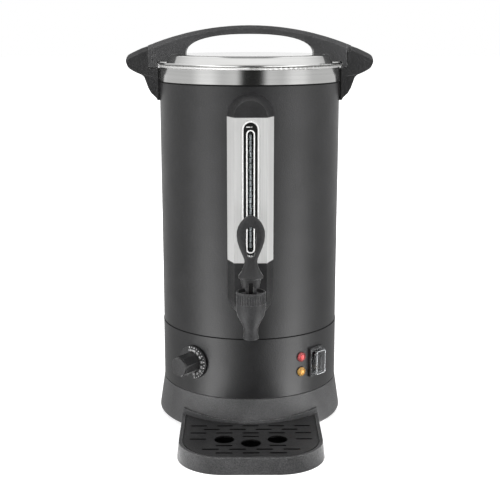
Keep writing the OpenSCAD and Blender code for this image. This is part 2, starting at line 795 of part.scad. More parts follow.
module arch_half() {
    end_x = split_r + 2;
    loft(concat(
        [for (x = arch_stations * hold_half) slice(x, hold_top(x), arch_top(x), bevel_at(x))],
        [for (k = [0.006, 0.45, 0.75, 1]) let (x = hold_half + k * (lug_x - hold_half))
            slice(x, flange_z + flange_bead_r + hair, arch_top(x), bevel_at(x))],
        [for (x = [lug_x + 0.1, (lug_x + end_x) / 2, end_x]) slice(x, lug_z, arch_top(x), bevel_at(x))]
    ));
}

split_line = 0.9;
split_depth = 1.3;
turn_stop = 2.2;
stop_reach = 5;

// The arch hugs the dome and ends in two lugs that turn into the pockets of the ears
module lid_handle() color(plastic) difference() {
    intersection() {
        union() {
            arch_half();
            mirror([1, 0, 0]) arch_half();
        }
        translate([0, 0, lug_z - 1]) cylinder(r = split_r - slack, h = crown_z);
    }
    rotate_extrude() polygon(concat(
        [for (p = beside(dome_path, -hair)) [max(p[0], 0), p[1]]],
        [[0, flange_z - 3], [flange_r, flange_z - 3]]
    ));
    lid_screw_places() translate([0, 0, dome_z - 2]) cylinder(d = 5 + 2 * hair, h = 12);
    // the split line that is engraved round the lugs
    difference() {
        translate([0, 0, lug_z + 6]) tube(split_r - 5, split_line, crown_z);
        translate([-split_r, -handle_w / 2 + split_depth, 0])
            cube([2 * split_r, handle_w - 2 * split_depth, arch_top(split_r - 5) - split_depth]);
    }
    // room for the stops that end the turn
    for (s = [0, 180]) rotate([0, 0, s]) intersection() {
        translate([-split_r - 2, handle_w / 2 - turn_stop - slack, lug_z - 1]) cube([20, 10, 60]);
        translate([0, 0, lug_z - 2]) tube(split_r + 3, 3 + stop_reach, 70);
    }
}

// ---- Ears ----

ear_low = lug_z - slack;
web_half = 10.5;

ear_stations = [
    // share of the way out to the tip, then the lower and upper edge from the tip's height
    [0.55, -17.2, 99], [0.72, -14, 99], [0.8, -12.2, 12.4], [0.885, -10, 9.2], [0.945, -7.6, 6.6],
    [0.985, -4, 3.6], [1, -1.6, 1.4]
];

module ear() {
    base_x = shell_r;
    tip_z = rim_z + seam + 24.2;
    difference() {
        union() {
            loft(concat(
                [slice(base_x - 3, ear_low - 12, arch_top(base_x), bevel_end)],
                [for (s = ear_stations) let (x = base_x - 3 + (ear_reach - base_x + 3) * s[0])
                    slice(x, tip_z + s[1], min(arch_top(x), tip_z + s[2]), bevel_end)]
            ));
            // bracket strip down the shell
            translate([0, handle_w / 2, 0]) rotate([90, 0, 0]) linear_extrude(handle_w) polygon(concat(
                [[base_x - 4, ear_low], [base_x - 4, rim_z + seam - bracket_h + 15.5]],
                [[base_x + 2.4, rim_z + seam - bracket_h + 15.5]],
                [[base_x + 3.8, rim_z + seam - bracket_h + 18]],
                [[base_x + 3.8, ear_low - 18], [base_x + 5, ear_low - 13], [base_x + 9, ear_low - 9.4]],
                [[base_x + 20, ear_low - 5], [base_x + 20, ear_low]]
            ));
            // thinner web outside it
            translate([0, web_half, 0]) rotate([90, 0, 0]) linear_extrude(2 * web_half) polygon(concat(
                [[base_x - 4, ear_low], [base_x - 4, rim_z + seam - bracket_h + 15.5]],
                [[base_x + 1.6, rim_z + seam - bracket_h + 15.5]],
                [[base_x + 10.3, ear_low - 30.5], [base_x + 14, ear_low - 24], [base_x + 16.4, ear_low - 17]],
                [[base_x + 18.6, ear_low - 11], [base_x + 23, ear_low - 6.6], [base_x + 23, ear_low]]
            ));
        }
        translate([0, 0, ear_low]) cylinder(r = split_r, h = crown_z);
        cylinder(r = shell_r + hair, h = crown_z);
        for (z = ear_screw_z) translate([shell_r - 3, 0, z]) rotate([0, 90, 0])
            cylinder(d = ear_screw_d + 2 * tight, h = ear_screw_len);
    }
    // stop that ends the turn of the lid
    intersection() {
        translate([split_r - 12, -handle_w / 2, ear_low - 1])
            cube([20, turn_stop, arch_top(split_r) - bevel_end - ear_low]);
        tube(split_r + 2, stop_reach + 2 - 2 * slack, crown_z);
    }
}

module ear_left() color(plastic) rotate([0, 0, 180]) ear();
module ear_right() color(plastic) ear();

module ear_screws() color(steel)
    for (s = [-1, 1], z = ear_screw_z) at_side(s * 90, shell_r - shell_wall - 2.6, z) outwards() {
        cylinder(d = ear_head_d, h = 2.4);
        cylinder(d = ear_screw_d, h = ear_screw_len);
    }

// ---- Level gauge ----

front_y = -(shell_r + gauge_depth);
front_half = gauge_front_w / 2;
root_half = front_half + gauge_spread / 2;
cover_z = shell_z + cover_bottom;
cover_top = rim_z - cover_drop;
cover_h = cover_top - cover_z;
foot_centre_z = shell_z + 55;
gauge_wall = 2;
cover_t = 0.8;

// The housing's form: a straight channel with tapered round ends, grown by g
module gauge_form(low, high, g = 0) {
    depth = gauge_depth + 10;
    spread = gauge_spread / 2 * depth / gauge_depth;
    translate([0, front_y - g, 0]) {
        for (z = [low, high]) translate([0, 0, z]) rotate([-90, 0, 0])
            cylinder(r1 = front_half + g, r2 = front_half + spread + g, h = depth);
        translate([0, 0, low]) linear_extrude(high - low) polygon([
            [-front_half - g, 0], [front_half + g, 0],
            [front_half + spread + g, depth], [-front_half - spread - g, depth]
        ]);
    }
}

module zone(low, high) {
    translate([-60, -shell_r - 60, low]) cube([120, 120, high - low]);
}

tap_stub_d = 22;

module gauge_foot() color(plastic) difference() {
    intersection() {
        gauge_form(foot_centre_z, cover_z);
        zone(shell_z, cover_z - hair);
    }
    intersection() {
        gauge_form(foot_centre_z, cover_z, -gauge_wall);
        zone(shell_z, cover_z + 5);
    }
    cylinder(r = shell_r + hair, h = crown_z);
    translate([0, 0, tap_z]) outwards() cylinder(d = tap_stub_d + 2 * hair, h = shell_r + 40);
}

module gauge_cap() color(plastic) difference() {
    intersection() {
        gauge_form(cover_top - 20, cover_top);
        zone(cover_top + hair, cover_top + 60);
    }
    intersection() {
        gauge_form(cover_top - 20, cover_top, -gauge_wall);
        zone(cover_top - 10, cover_top + 60);
    }
    cylinder(r = shell_r + hair, h = crown_z);
}

window_low = cover_z + 6;
window_high = cover_top - 3.4;
window_z = (window_low + window_high) / 2;
window_h = window_high - window_low;
lens_low = cover_z + 11.8;
lens_high = cover_top - 14.1;
lens_z = (lens_low + lens_high) / 2;
lens_h = lens_high - lens_low;
panel_y = front_y + cover_t + hair;
panel_t = 1.6;

module window_prism(w, h, z, y0, y1) {
    translate([0, y1, z]) outwards() linear_extrude(y1 - y0) obround(w, h);
}

module gauge_cover() color(steel) difference() {
    union() {
        intersection() {
            difference() {
                gauge_form(foot_centre_z, cover_top);
                gauge_form(foot_centre_z, cover_top, -cover_t);
            }
            zone(cover_z, cover_top);
        }
        window_prism(window_w, window_h, window_z, front_y - 0.8, front_y + cover_t / 2);
    }
    window_prism(window_w - 2 * window_rim, window_h - 2 * window_rim, window_z, front_y - 5, front_y + 5);
    cylinder(r = shell_r + hair, h = crown_z);
}

module gauge_panel() color("#141415") difference() {
    translate([-front_half + 2, panel_y, cover_z + 1]) cube([gauge_front_w - 4, panel_t, cover_h - 2]);
    window_prism(lens_w, lens_h, lens_z, panel_y - 1, panel_y + 5);
}

module gauge_lens() color("#dfe6e855") difference() {
    union() {
        window_prism(lens_w - 2 * hair, lens_h - 2 * hair, lens_z, panel_y - 0.6, panel_y + panel_t);
        window_prism(lens_w + 3, lens_h + 3, lens_z, panel_y + panel_t, panel_y + panel_t + 0.7);
    }
    window_prism(lens_w - 2, lens_h - 2, lens_z, panel_y - 2, panel_y + 0.8);
}

socket_d = glass_d + 5;
glass_y = front_y + gauge_wall + socket_d / 2 + slack;
glass_low = cover_z - 10;
glass_high = cover_top + 5;

module gauge_tube() color("#e4ecee66") translate([0, glass_y, glass_low])
    tube(glass_d / 2, 0.9, glass_high - glass_low);

back_y = glass_y + glass_d / 2 + 1;
back_t = 1.4;

module gauge_back() color("#141415") difference() {
    translate([-root_half, back_y, cover_z + 1]) cube([2 * root_half, back_t, cover_h - 2]);
    difference() {
        zone(shell_z, rim_z);
        gauge_form(foot_centre_z, cover_top, -cover_t - slack);
    }
    cylinder(r = shell_r + hair, h = crown_z);
}

dash_w = 3;
dash_count = floor(lens_h / dash_pitch) - 1;

module gauge_scale() color("#9a9da0") for (i = [0:dash_count - 1])
    translate([-dash_w / 2, back_y - 0.3, lens_low + dash_pitch * (i + 0.7)])
        cube([dash_w, 0.3, dash_pitch * 0.86]);

elbow_r = shank_d / 2 + 1.8;

// A collar round the shank with an upright socket for the glass
module gauge_elbow() color("#d9d6cf") difference() {
    union() {
        translate([0, glass_y + 4.6, tap_z]) outwards() cylinder(r = elbow_r, h = 9.2);
        translate([0, glass_y, tap_z]) cylinder(d = socket_d, h = glass_low + 7 - tap_z);
    }
    translate([0, glass_y + 10, tap_z]) outwards() cylinder(r = shank_d / 2 + running, h = 20);
    translate([0, glass_y, tap_z]) cylinder(d = 3.4, h = 100);
    translate([0, glass_y, glass_low - hair]) cylinder(d = glass_d + 2 * hair, h = 40);
    translate([0, -shell_r, tap_z]) outwards()
        cylinder(r = flange_out_r + slack, h = flange_stand + flange_t + hair);
}

module gauge_seals() color(silicone) {
    difference() {
        translate([0, glass_y, glass_low + 7]) cylinder(d = socket_d, h = 2);
        translate([0, glass_y, glass_low]) cylinder(d = glass_d, h = 20);
    }
    difference() {
        translate([0, glass_y, glass_high - 4]) cylinder(d = socket_d, h = 7);
        translate([0, glass_y, glass_high - 5]) cylinder(d = glass_d, h = 5);
        translate([0, glass_y, glass_high - 5]) cylinder(d = 2, h = 20);
    }
}

// ---- Tap ----

collar_h = 13.4;
collar_z = tap_z + 12;
bridge_z = collar_z + 7.4;
bridge_t = 2.2;
floor_z = bridge_z + bridge_t;
seat_z = tap_z - 7;
nozzle_z = tap_z - nozzle_drop;
tap_r = tap_d / 2;
neck_r = tap_r - 3;
chamber_r = neck_r - 2.2;

flange_out_r = shank_d / 2 + 4;
flange_stand = 2.6;
flange_t = 2.2;

module tap_shank() color("#cfcac0") difference() {
    union() {
        translate([0, -tank_in_r + 16, tap_z]) outwards()
            cylinder(d = shank_d, h = -tap_y - chamber_r - 1.8 - tank_in_r + 16);
        translate([0, -shell_r - flange_stand, tap_z]) outwards() cylinder(r = flange_out_r, h = flange_t);
    }
    translate([0, 0, tap_z]) outwards() cylinder(d = shank_bore, h = 2 * shell_r);
    translate([0, glass_y, tap_z]) cylinder(d = 3.4, h = shank_d);
}

nut_flats = 26;

module shank_nut() color(steel) difference() {
    translate([0, -tank_in_r + 12.4, tap_z]) outwards()
        cylinder(d = nut_flats / cos(30), h = 8, $fn = 6);
    translate([0, 0, tap_z]) outwards() cylinder(d = shank_d + 2 * running, h = 2 * shell_r);
}

module shank_seals() color(silicone) {
    difference() {
        translate([0, -tank_in_r + 4.3, tap_z]) outwards() cylinder(r = shank_d / 2 + 5, h = 6);
        translate([0, 0, tap_z]) outwards() cylinder(d = shank_d + 2 * running, h = 2 * shell_r);
        difference() {
            cylinder(r = 2 * shell_r, h = crown_z);
            translate([0, 0, -1]) cylinder(r = tank_in_r - hair, h = crown_z + 2);
        }
    }
    difference() {
        translate([0, -shell_r + 3, tap_z]) outwards() cylinder(r = flange_out_r, h = flange_stand + 2.9);
        translate([0, 0, tap_z]) outwards() cylinder(d = shank_d + 2 * running, h = 2 * shell_r);
        cylinder(r = shell_r + hair, h = crown_z);
    }
}

// Half outline of the tap body from the nozzle up
tap_outline = concat(
    [[0, nozzle_z], [nozzle_d / 2 + 0.2, nozzle_z], [nozzle_d / 2 + 0.5, nozzle_z + 1.6]],
    [[nozzle_d / 2 - 0.3, nozzle_z + 6], [nozzle_d / 2, tap_z - 17.5], [tap_r - 5.4, tap_z - 10.6]],
    [[tap_r - 2.9, tap_z - 6], [tap_r - 1, tap_z - 1], [tap_r, tap_z + 5], [tap_r, collar_z - hair]],
    [[neck_r, collar_z - hair], [neck_r, bridge_z - hair], [0, bridge_z - hair]]
);

module tap_body() color(plastic) difference() {
    union() {
        translate([0, tap_y, 0]) rotate_extrude() polygon(tap_outline);
        translate([0, front_y - hair, tap_z]) outwards() cylinder(d = tap_stub_d, h = -tap_y + front_y - 8);
    }
    translate([0, tap_y, nozzle_z - 1]) cylinder(d = nozzle_bore, h = seat_z - nozzle_z + 2);
    translate([0, tap_y, seat_z]) cylinder(r = chamber_r, h = 60);
    translate([0, -shell_r, tap_z]) outwards()
        cylinder(d = shank_d + 2 * running, h = -tap_y - shell_r - chamber_r - 1.6);
    translate([0, -shell_r, tap_z]) outwards() cylinder(d = shank_bore, h = -tap_y - shell_r - 6);
}

rib_count = 36;
rib_depth = 0.7;
stem_guide_r = stem_d / 2 + running;

module tap_collar() color(plastic) translate([0, tap_y, 0]) difference() {
    union() {
        translate([0, 0, collar_z]) linear_extrude(collar_h - 1.6) polygon([
            for (i = [0:rib_count - 1], k = [0:3])
            let (a = 360 * (i + [0, 0.5, 0.5, 1][k]) / rib_count, r = tap_r + (k < 2 ? 0 : -rib_depth))
            r * [cos(a), sin(a)]
        ]);
        translate([0, 0, collar_z + collar_h - 1.8]) cylinder(r1 = tap_r + 0.2, r2 = tap_r - 0.4, h = 1.8);
    }
    translate([0, 0, collar_z - 1]) cylinder(r = neck_r + hair, h = bridge_z - collar_z + 1);
    translate([0, 0, floor_z]) cylinder(r = tap_r - 2.2, h = collar_h);
    translate([0, 0, bridge_z - 1]) cylinder(r = stem_guide_r, h = bridge_t + 2);
}

pin_z = floor_z + 9.5;
head_w = 4.8;
head_top = pin_z + 4.4;
cup_z = seat_z + hair;
cup_h = 8;

module tap_stem() color("#e3dfd6") translate([0, tap_y, 0]) difference() {
    union() {
        translate([0, 0, cup_z + 2]) cylinder(d = stem_d, h = floor_z + 2 - cup_z);
        translate([-head_w / 2, -3, floor_z + 3.5]) cube([head_w, 6, head_top - floor_z - 3.5]);
    }
    translate([0, 0, pin_z]) rotate([0, 90, 0]) cylinder(d = pin_d + 2 * tight, h = 20, center = true);
}

module seat_cup() color(silicone) translate([0, tap_y, 0]) difference() {
    union() {
        translate([0, 0, cup_z]) cylinder(r = chamber_r - 1.6, h = 3);
        translate([0, 0, cup_z + 3]) cylinder(r1 = chamber_r - 2, r2 = stem_d / 2 + 2, h = cup_h - 3);
    }
    translate([0, 0, cup_z + 2]) cylinder(d = stem_d + 2 * tight, h = 20);
}

spring_wire = 1;
spring_r = stem_d / 2 + 1.4;
spring_turns = 5;
spring_low = cup_z + cup_h + spring_wire / 2 + hair;
spring_high = bridge_z - spring_wire / 2 - hair;
spring_steps = 14;

module tap_spring() color(steel) translate([0, tap_y, 0]) bar([
    for (i = [0:spring_turns * spring_steps])
    let (a = 360 * i / spring_steps, rise = (spring_high - spring_low) * i / (spring_turns * spring_steps))
    [spring_r * cos(a), spring_r * sin(a), spring_low + rise]
], spring_wire / 2, 6);

leg_half = 6.2;

module lever_pin() color(steel) translate([0, tap_y, pin_z])
    rotate([0, 90, 0]) cylinder(d = pin_d, h = 2 * leg_half + 2, center = true);

// Height above the pin as a share of the lever, then half width and half depth as shares of its
// widest half
lever_stations = [
    [-0.012, 0.628, 0.468], [0.116, 0.745, 0.591], [0.125, 0.862, 0.677], [0.145, 0.911, 0.714],
    [0.164, 0.849, 0.665], [0.211, 0.677, 0.529], [0.265, 0.566, 0.406], [0.313, 0.486, 0.32],
    [0.355, 0.458, 0.283], [0.398, 0.498, 0.258], [0.47, 0.652, 0.246], [0.554, 0.825, 0.246],
    [0.639, 0.96, 0.246], [0.711, 1, 0.246], [0.783, 0.985, 0.246], [0.843, 0.898, 0.24],
    [0.904, 0.726, 0.228], [0.952, 0.511, 0.209], [0.983, 0.308, 0.178], [1, 0.111, 0.098]
];
hole_low = lever_h * 0.458;
hole_high = lever_h * 0.759;
hole_low_r = lever_w * 0.13;
hole_high_r = lever_w * 0.206;
hole_tilt = asin((hole_high_r - hole_low_r) / (hole_high - hole_low));

function rounded(hx, hy, z, power = 2.6, n = 28) = [
    for (i = [0:n - 1]) let (a = 360 * i / n, c = cos(a), s = sin(a))
    [hx * sign(c) * pow(abs(c), 2 / power), hy * sign(s) * pow(abs(s), 2 / power), z]
];

// The lever turns on its pin; its two rounded legs press on the bridge and lift the stem
module tap_lever() color(plastic) translate([0, tap_y, pin_z]) difference() {
    union() {
        loft([for (s = lever_stations) rounded(s[1] * lever_w / 2, s[2] * lever_w / 2, s[0] * lever_h)]);
        for (s = [-1, 1]) translate([s * (head_w / 2 + 0.3) + (s < 0 ? -(leg_half - head_w / 2 - 0.3) : 0), 0, 0])
            rotate([90, 0, 90]) linear_extrude(leg_half - head_w / 2 - 0.3) {
                translate([-4.5, -3.55]) circle(r = 5.5);
                translate([1.5, -4.05]) circle(r = 5);
                translate([-7, -3]) square([13, 9]);
            }
    }
    translate([-head_w / 2 - 0.3, -20, -20]) cube([head_w + 0.6, 40, 26]);
    rotate([0, 90, 0]) cylinder(d = pin_d + 2 * running, h = 60, center = true);
    for (s = [-1, 1]) translate([s * 20, 0, 0]) rotate([0, 90, 0])
        cylinder(d = pin_d + 3, h = 2 * (20 - leg_half - 1), center = true);
    translate([0, 10, 0]) rotate([90, 0, 0]) linear_extrude(20) {
        translate([0, hole_low]) circle(r = hole_low_r);
        translate([0, hole_high]) circle(r = hole_high_r);
        polygon([
            [0, hole_low] + hole_low_r * [cos(hole_tilt), -sin(hole_tilt)],
            [0, hole_high] + hole_high_r * [cos(hole_tilt), -sin(hole_tilt)],
            [0, hole_high] + hole_high_r * [-cos(hole_tilt), -sin(hole_tilt)],
            [0, hole_low] + hole_low_r * [-cos(hole_tilt), -sin(hole_tilt)]
        ]);
    }
}

// ---- Drip tray ----

corner_x = tray_half - tray_corner;
corner_y = -(tray_front - tray_corner);
tray_gap = 0.6;
tray_back_y = -66;
tray_rim = 4;
grille_gap = 1.6;
grille_inset = tray_draft + tray_rim + grille_gap;
grille_z = tray_h - grille_t;
ledge_w = 1.8;

// The block of the tray, moved in by g at the foot and by g + draft at the rim
module tray_block(g, h, draft) {
    r = tray_corner - g;
    mirrored() translate([corner_x, corner_y, 0]) cylinder(r1 = r, r2 = r - draft, h = h);
    translate([0, tray_back_y, 0]) rotate([90, 0, 0]) linear_extrude(-corner_y + tray_back_y) polygon([
        [-tray_half + g, 0], [tray_half - g, 0], [tray_half - g - draft, h], [-tray_half + g + draft, h]
    ]);
    translate([-corner_x, 0, 0]) rotate([90, 0, 90]) linear_extrude(2 * corner_x) polygon([
        [corner_y, 0], [corner_y - r, 0], [corner_y - r + draft, h], [corner_y, h]
    ]);
}

// The foot ring, grown by g, with straight walls above it
module ring_cutter(g) {
    translate([0, 0, feet_h - 10]) cylinder(
        r1 = foot_low_r + foot_flare * 10 / foot_h + g, r2 = foot_r + g, h = foot_h + 10
    );
}

collar_t = 2.4;
back_rise = 2.6;
side_rise = 7;
saddle_r = (tray_half * tray_half) / (2 * (side_rise - back_rise));

module drip_tray() color(plastic) difference() {
    union() {
        tray_block(0, tray_h, tray_draft);
        // the upstand that hugs the foot ring, higher towards the sides
        difference() {
            intersection() {
                ring_cutter(tray_gap + collar_t);
                translate([-tray_half, -200, 0])
                    cube([2 * tray_half, 200 + tray_back_y - 8, tray_h + side_rise]);
                translate([0, tray_back_y, -0.01]) rotate([90, 0, 0]) linear_extrude(200) polygon([
                    [-tray_half, 0], [tray_half, 0], [tray_half - tray_draft - 1.4, tray_h + side_rise],
                    [-tray_half + tray_draft + 1.4, tray_h + side_rise]
                ]);
            }
            translate([0, 0, tray_h + back_rise + saddle_r]) rotate([90, 0, 0])
                cylinder(r = saddle_r, h = 300, $fn = 360);
        }
    }
    ring_cutter(tray_gap);
    difference() {
        translate([0, 0, tray_wall]) tray_block(grille_inset + ledge_w, tray_h, 0);
        ring_cutter(tray_gap + collar_t + grille_gap + ledge_w);
    }
    translate([0, 0, grille_z - hair]) linear_extrude(20) grille_outline(grille_gap);
}

back_arc_r = foot_outer_r(tray_h) + tray_gap + collar_t + grille_gap;

module grille_outline(g = 0) {
    difference() {
        union() {
            for (s = [-1, 1]) translate([s * corner_x, corner_y]) circle(r = tray_corner - grille_inset + g);
            translate([-tray_half + grille_inset - g, corner_y])
                square([2 * (tray_half - grille_inset + g), -corner_y + tray_back_y - 22]);
            translate([-corner_x, corner_y - tray_corner + grille_inset - g])
                square([2 * corner_x, tray_corner]);
        }
        circle(r = back_arc_r - g, $fn = 180);
    }
}

column_pitch = 31.5;

// Distance of each row of slots from the tray front, and the column numbers of its slots
slot_rows = [
    [102.3, [-2, -1, 0, 1, 2]], [90.6, [-1.5, -0.5, 0.5, 1.5]], [79.2, [-2, -1, 0, 1, 2]],
    [68, [0]], [59.9, [-2, 2]], [40, [-1, 1]], [29, [-1.5, -0.5, 0.5, 1.5]], [18.2, [-1, 0, 1]]
];
drains = [[-1, 58.7], [0, 46.9], [1, 58.7]];

module drip_grille() color("#232324") translate([0, 0, grille_z]) linear_extrude(grille_t - 0.4) difference() {
    grille_outline();
    for (row = slot_rows, column = row[1])
        translate([column * column_pitch, row[0] - tray_front]) rotate(90) obround(slot_w, slot_l);
    for (d = drains) translate([d[0] * column_pitch, d[1] - tray_front]) circle(d = drain_d);
}

outer_shell();
rim_band();
inner_tank();
base_band();
foot_ring();
base_plate();
feet();
base_screws();
tie_rod();
tie_nut();
heat_plate();
heating_element();
thermostat();
sensor_bulb();
thermal_cutout();
reset_button();
terminal_block();
wiring();
cable_gland();
lid_dome();
lid_liner();
lid_gasket();
lid_handle();
lid_screws();
ear_left();
ear_right();
ear_screws();
gauge_foot();
gauge_cap();
gauge_cover();
gauge_panel();
gauge_lens();
gauge_tube();
gauge_back();
gauge_scale();
gauge_elbow();
gauge_seals();
tap_shank();
shank_nut();
shank_seals();
tap_body();
tap_collar();
tap_stem();
seat_cup();
tap_spring();
lever_pin();
tap_lever();
dial_knob();
dial_shaft();
red_lamp();
amber_lamp();
switch_frame();
switch_rocker();
switch_boot();
drip_tray();
drip_grille();
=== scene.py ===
# %% [markdown]
# # A hot water urn, dressed for the shelf
#
# The frame holds every solid of the urn in metres, with the floor at z = 0 and the tap towards -Y. This
# lesson gives each solid the finish of the real thing, and models again the pieces whose soft edges or
# small details a plain solid can't show.

# %% Load the frame
import bpy
import json
import math
from mathutils import Matrix, Vector


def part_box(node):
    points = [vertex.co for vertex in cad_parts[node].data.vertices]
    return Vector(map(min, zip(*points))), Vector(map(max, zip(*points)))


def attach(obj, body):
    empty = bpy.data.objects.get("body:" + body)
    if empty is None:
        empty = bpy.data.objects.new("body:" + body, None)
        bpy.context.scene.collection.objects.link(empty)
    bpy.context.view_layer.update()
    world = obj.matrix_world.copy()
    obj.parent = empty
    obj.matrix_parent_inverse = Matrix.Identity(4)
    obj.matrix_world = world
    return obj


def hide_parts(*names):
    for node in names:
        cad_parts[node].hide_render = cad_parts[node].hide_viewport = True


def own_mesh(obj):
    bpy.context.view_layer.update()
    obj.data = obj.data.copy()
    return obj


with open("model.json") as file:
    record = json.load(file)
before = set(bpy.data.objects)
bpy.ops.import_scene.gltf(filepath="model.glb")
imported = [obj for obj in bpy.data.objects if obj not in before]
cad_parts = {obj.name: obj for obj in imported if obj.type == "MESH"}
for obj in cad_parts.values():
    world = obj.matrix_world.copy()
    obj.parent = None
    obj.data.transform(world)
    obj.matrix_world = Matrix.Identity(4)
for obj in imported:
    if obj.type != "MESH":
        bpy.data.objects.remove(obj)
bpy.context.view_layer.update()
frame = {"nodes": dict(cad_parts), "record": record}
nodes = frame["nodes"]
scene = bpy.context.scene
MM = 0.001  # the scene is in metres, and most sizes below are in millimetres

# %% [markdown]
# ## Camera
#
# The urn is seen from a little above, from about six times its width away. The lens axis points lower
# than the middle of the picture, as when the camera is shifted to keep the body upright, so a small
# shift is set here instead of a tilt.

# %% Camera
VIEW_DISTANCE = 1.344
VIEW_HEIGHT = 0.4982
VIEW_TILT = math.radians(13.73)
VIEW_SIDE = math.radians(0.5)

camera_data = bpy.data.cameras.new("camera")
camera_data.lens = 76.1
camera_data.sensor_width = 36
camera_data.shift_x = 0.0008
camera_data.shift_y = 0.064
camera = bpy.data.objects.new("camera", camera_data)
camera.location = (-VIEW_DISTANCE * math.sin(VIEW_SIDE), -VIEW_DISTANCE * math.cos(VIEW_SIDE), VIEW_HEIGHT)
camera.rotation_euler = (math.pi / 2 - VIEW_TILT, 0, -VIEW_SIDE)
scene.collection.objects.link(camera)
scene.camera = camera
print("camera at", [round(v, 3) for v in camera.location])

# %% [markdown]
# ## Light
#
# Dark, satin things show their shape by what they mirror. Two tall soft boxes stand in front, left and
# right, and each draws one upright streak on the round body. Straight in front is the dark gap between
# them, which gives the steel bands their dark middle. The lamps below only throw light: two stand where the
# soft boxes are, a small one in front lifts the print and the gauge, one hangs above and one stands behind.
# What is mirrored is described once, by direction, and the floor carries it on below the horizon like a
# polished table.

# %% Lamps
STUDIO_LAMPS = [
    # name, angle from the front to the right, distance, height, width, length, tilt down, watts
    ("lamp_left", -56, 1.7, 0.55, 0.30, 1.5, 0, 22),
    ("lamp_right", 56, 1.7, 0.55, 0.30, 1.5, 0, 22),
    ("lamp_front", 0, 2.2, 0.60, 0.6, 0.6, 8, 12),
    ("lamp_top", 0, 0.25, 2.0, 1.6, 1.6, 84, 22),
    ("lamp_back", 180, 1.6, 1.2, 1.2, 1.2, 30, 14),
]
for name, angle, distance, height, width, length, tilt, watts in STUDIO_LAMPS:
    data = bpy.data.lights.new(name, "AREA")
    data.shape = "RECTANGLE"
    data.size = width
    data.size_y = length
    data.energy = watts
    lamp = bpy.data.objects.new(name, data)
    side = math.radians(angle)
    lamp.location = (distance * math.sin(side), -distance * math.cos(side), height)
    lamp.rotation_euler = (math.pi / 2 - math.radians(tilt), 0, side)
    lamp.visible_glossy = False
    scene.collection.objects.link(lamp)
print("studio lamps:", len(STUDIO_LAMPS))

# %% [markdown]
# The small helpers below add a shader node, set its inputs by name and reckon with numbers, so that each
# material further on reads like a recipe.

# %% Node helpers
def add_node(tree, kind, place=(0, 0), **settings):
    node = tree.nodes.new(kind)
    node.location = place
    for key, value in settings.items():
        setattr(node, key, value)
    return node


def feed(tree, node, socket, source):
    """Sets an input of a node to a number or colour, or links it from an output."""
    if isinstance(source, bpy.types.NodeSocket):
        tree.links.new(source, node.inputs[socket])
    else:
        node.inputs[socket].default_value = source


def calc(tree, operation, *values, clamp=False):
    node = add_node(tree, "ShaderNodeMath", operation=operation, use_clamp=clamp)
    for index, value in enumerate(values):
        feed(tree, node, index, value)
    return node.outputs[0]


def remap(tree, value, low, high, to_low=0.0, to_high=1.0):
    node = add_node(tree, "ShaderNodeMapRange")
    for socket, number in (("Value", value), ("From Min", low), ("From Max", high),
                           ("To Min", to_low), ("To Max", to_high)):
        feed(tree, node, socket, number)
    return node.outputs["Result"]


print("number helpers ready")

# %% [markdown]
# Colours and shaders are mixed, and a vector is taken apart or put together. A pattern starts from the
# surface's own place on the piece, and noise breaks it up.

# %% Helpers for colours, shaders and places
# the colour sockets of a Mix node go by number, because each name is there once for each kind of value
COLOUR_A, COLOUR_B, COLOUR_RESULT = 6, 7, 2


def mix_colours(tree, factor, first, second, blend="MIX"):
    node = add_node(tree, "ShaderNodeMix", data_type="RGBA", blend_type=blend)
    feed(tree, node, "Factor", factor)
    feed(tree, node, COLOUR_A, first)
    feed(tree, node, COLOUR_B, second)
    return node.outputs[COLOUR_RESULT]


def mix_shaders(tree, factor, first, second):
    """The first shader where the factor is 0, the second where it is 1."""
    node = add_node(tree, "ShaderNodeMixShader", (450, 0))
    for socket, source in enumerate((factor, first, second)):
        tree.links.new(source, node.inputs[socket])
    return node.outputs[0]


def xyz_of(tree, vector):
    node = add_node(tree, "ShaderNodeSeparateXYZ", (-700, -300))
    feed(tree, node, "Vector", vector)
    return [node.outputs[axis] for axis in "XYZ"]


def vector_of(tree, *values):
    node = add_node(tree, "ShaderNodeCombineXYZ", (-300, -300))
    for axis, value in zip("XYZ", values):
        feed(tree, node, axis, value)
    return node.outputs[0]


def own_place(tree):
    """Where a point of the surface is, in the object's own coordinates."""
    return add_node(tree, "ShaderNodeTexCoord", (-900, -300)).outputs["Object"]


def noise(tree, vector, scale, detail=2.0, rough=0.5):
    node = add_node(tree, "ShaderNodeTexNoise")
    feed(tree, node, "Vector", vector)
    feed(tree, node, "Scale", scale)
    feed(tree, node, "Detail", detail)
    feed(tree, node, "Roughness", rough)
    return node.outputs["Fac"]


# noise seldom leaves the wide range, and the narrow range makes clear patches of it
WIDE_RANGE, NARROW_RANGE = (0.3, 0.7), (0.35, 0.65)


def seen(tree, paths):
    """1 for what the camera sees, straight or through a clear piece."""
    return calc(tree, "MAXIMUM", paths.outputs["Is Camera Ray"], paths.outputs["Is Transmission Ray"])


print("colour, shader and place helpers ready")

# %% [markdown]
# What is mirrored depends on the compass direction seen from the urn: pale all round, bright in the two
# soft boxes, nearly black straight in front, a little brighter again beside that gap. Upwards it turns into
# a white ceiling with a dark opening overhead, which draws a fine line along each rounded upper edge.

# %% Mirrored surroundings
SURROUNDINGS = 0.64
# angles in degrees, from the middle of the dark gap or, for a box, from its own middle
GAP_HALF, GAP_FADE = 11.5, 8.0
GLOW_START, GLOW_END, GAP_GLOW = GAP_HALF + 6.0, GAP_HALF + 24.0, 0.12
BOX_HALF, BOX_FADE = 7.0, 14.0
SIDE_START, SIDE_END = 70.0, 96.0
REAR_START, REAR_END, REAR_GLOW = 130.0, 165.0, 0.3


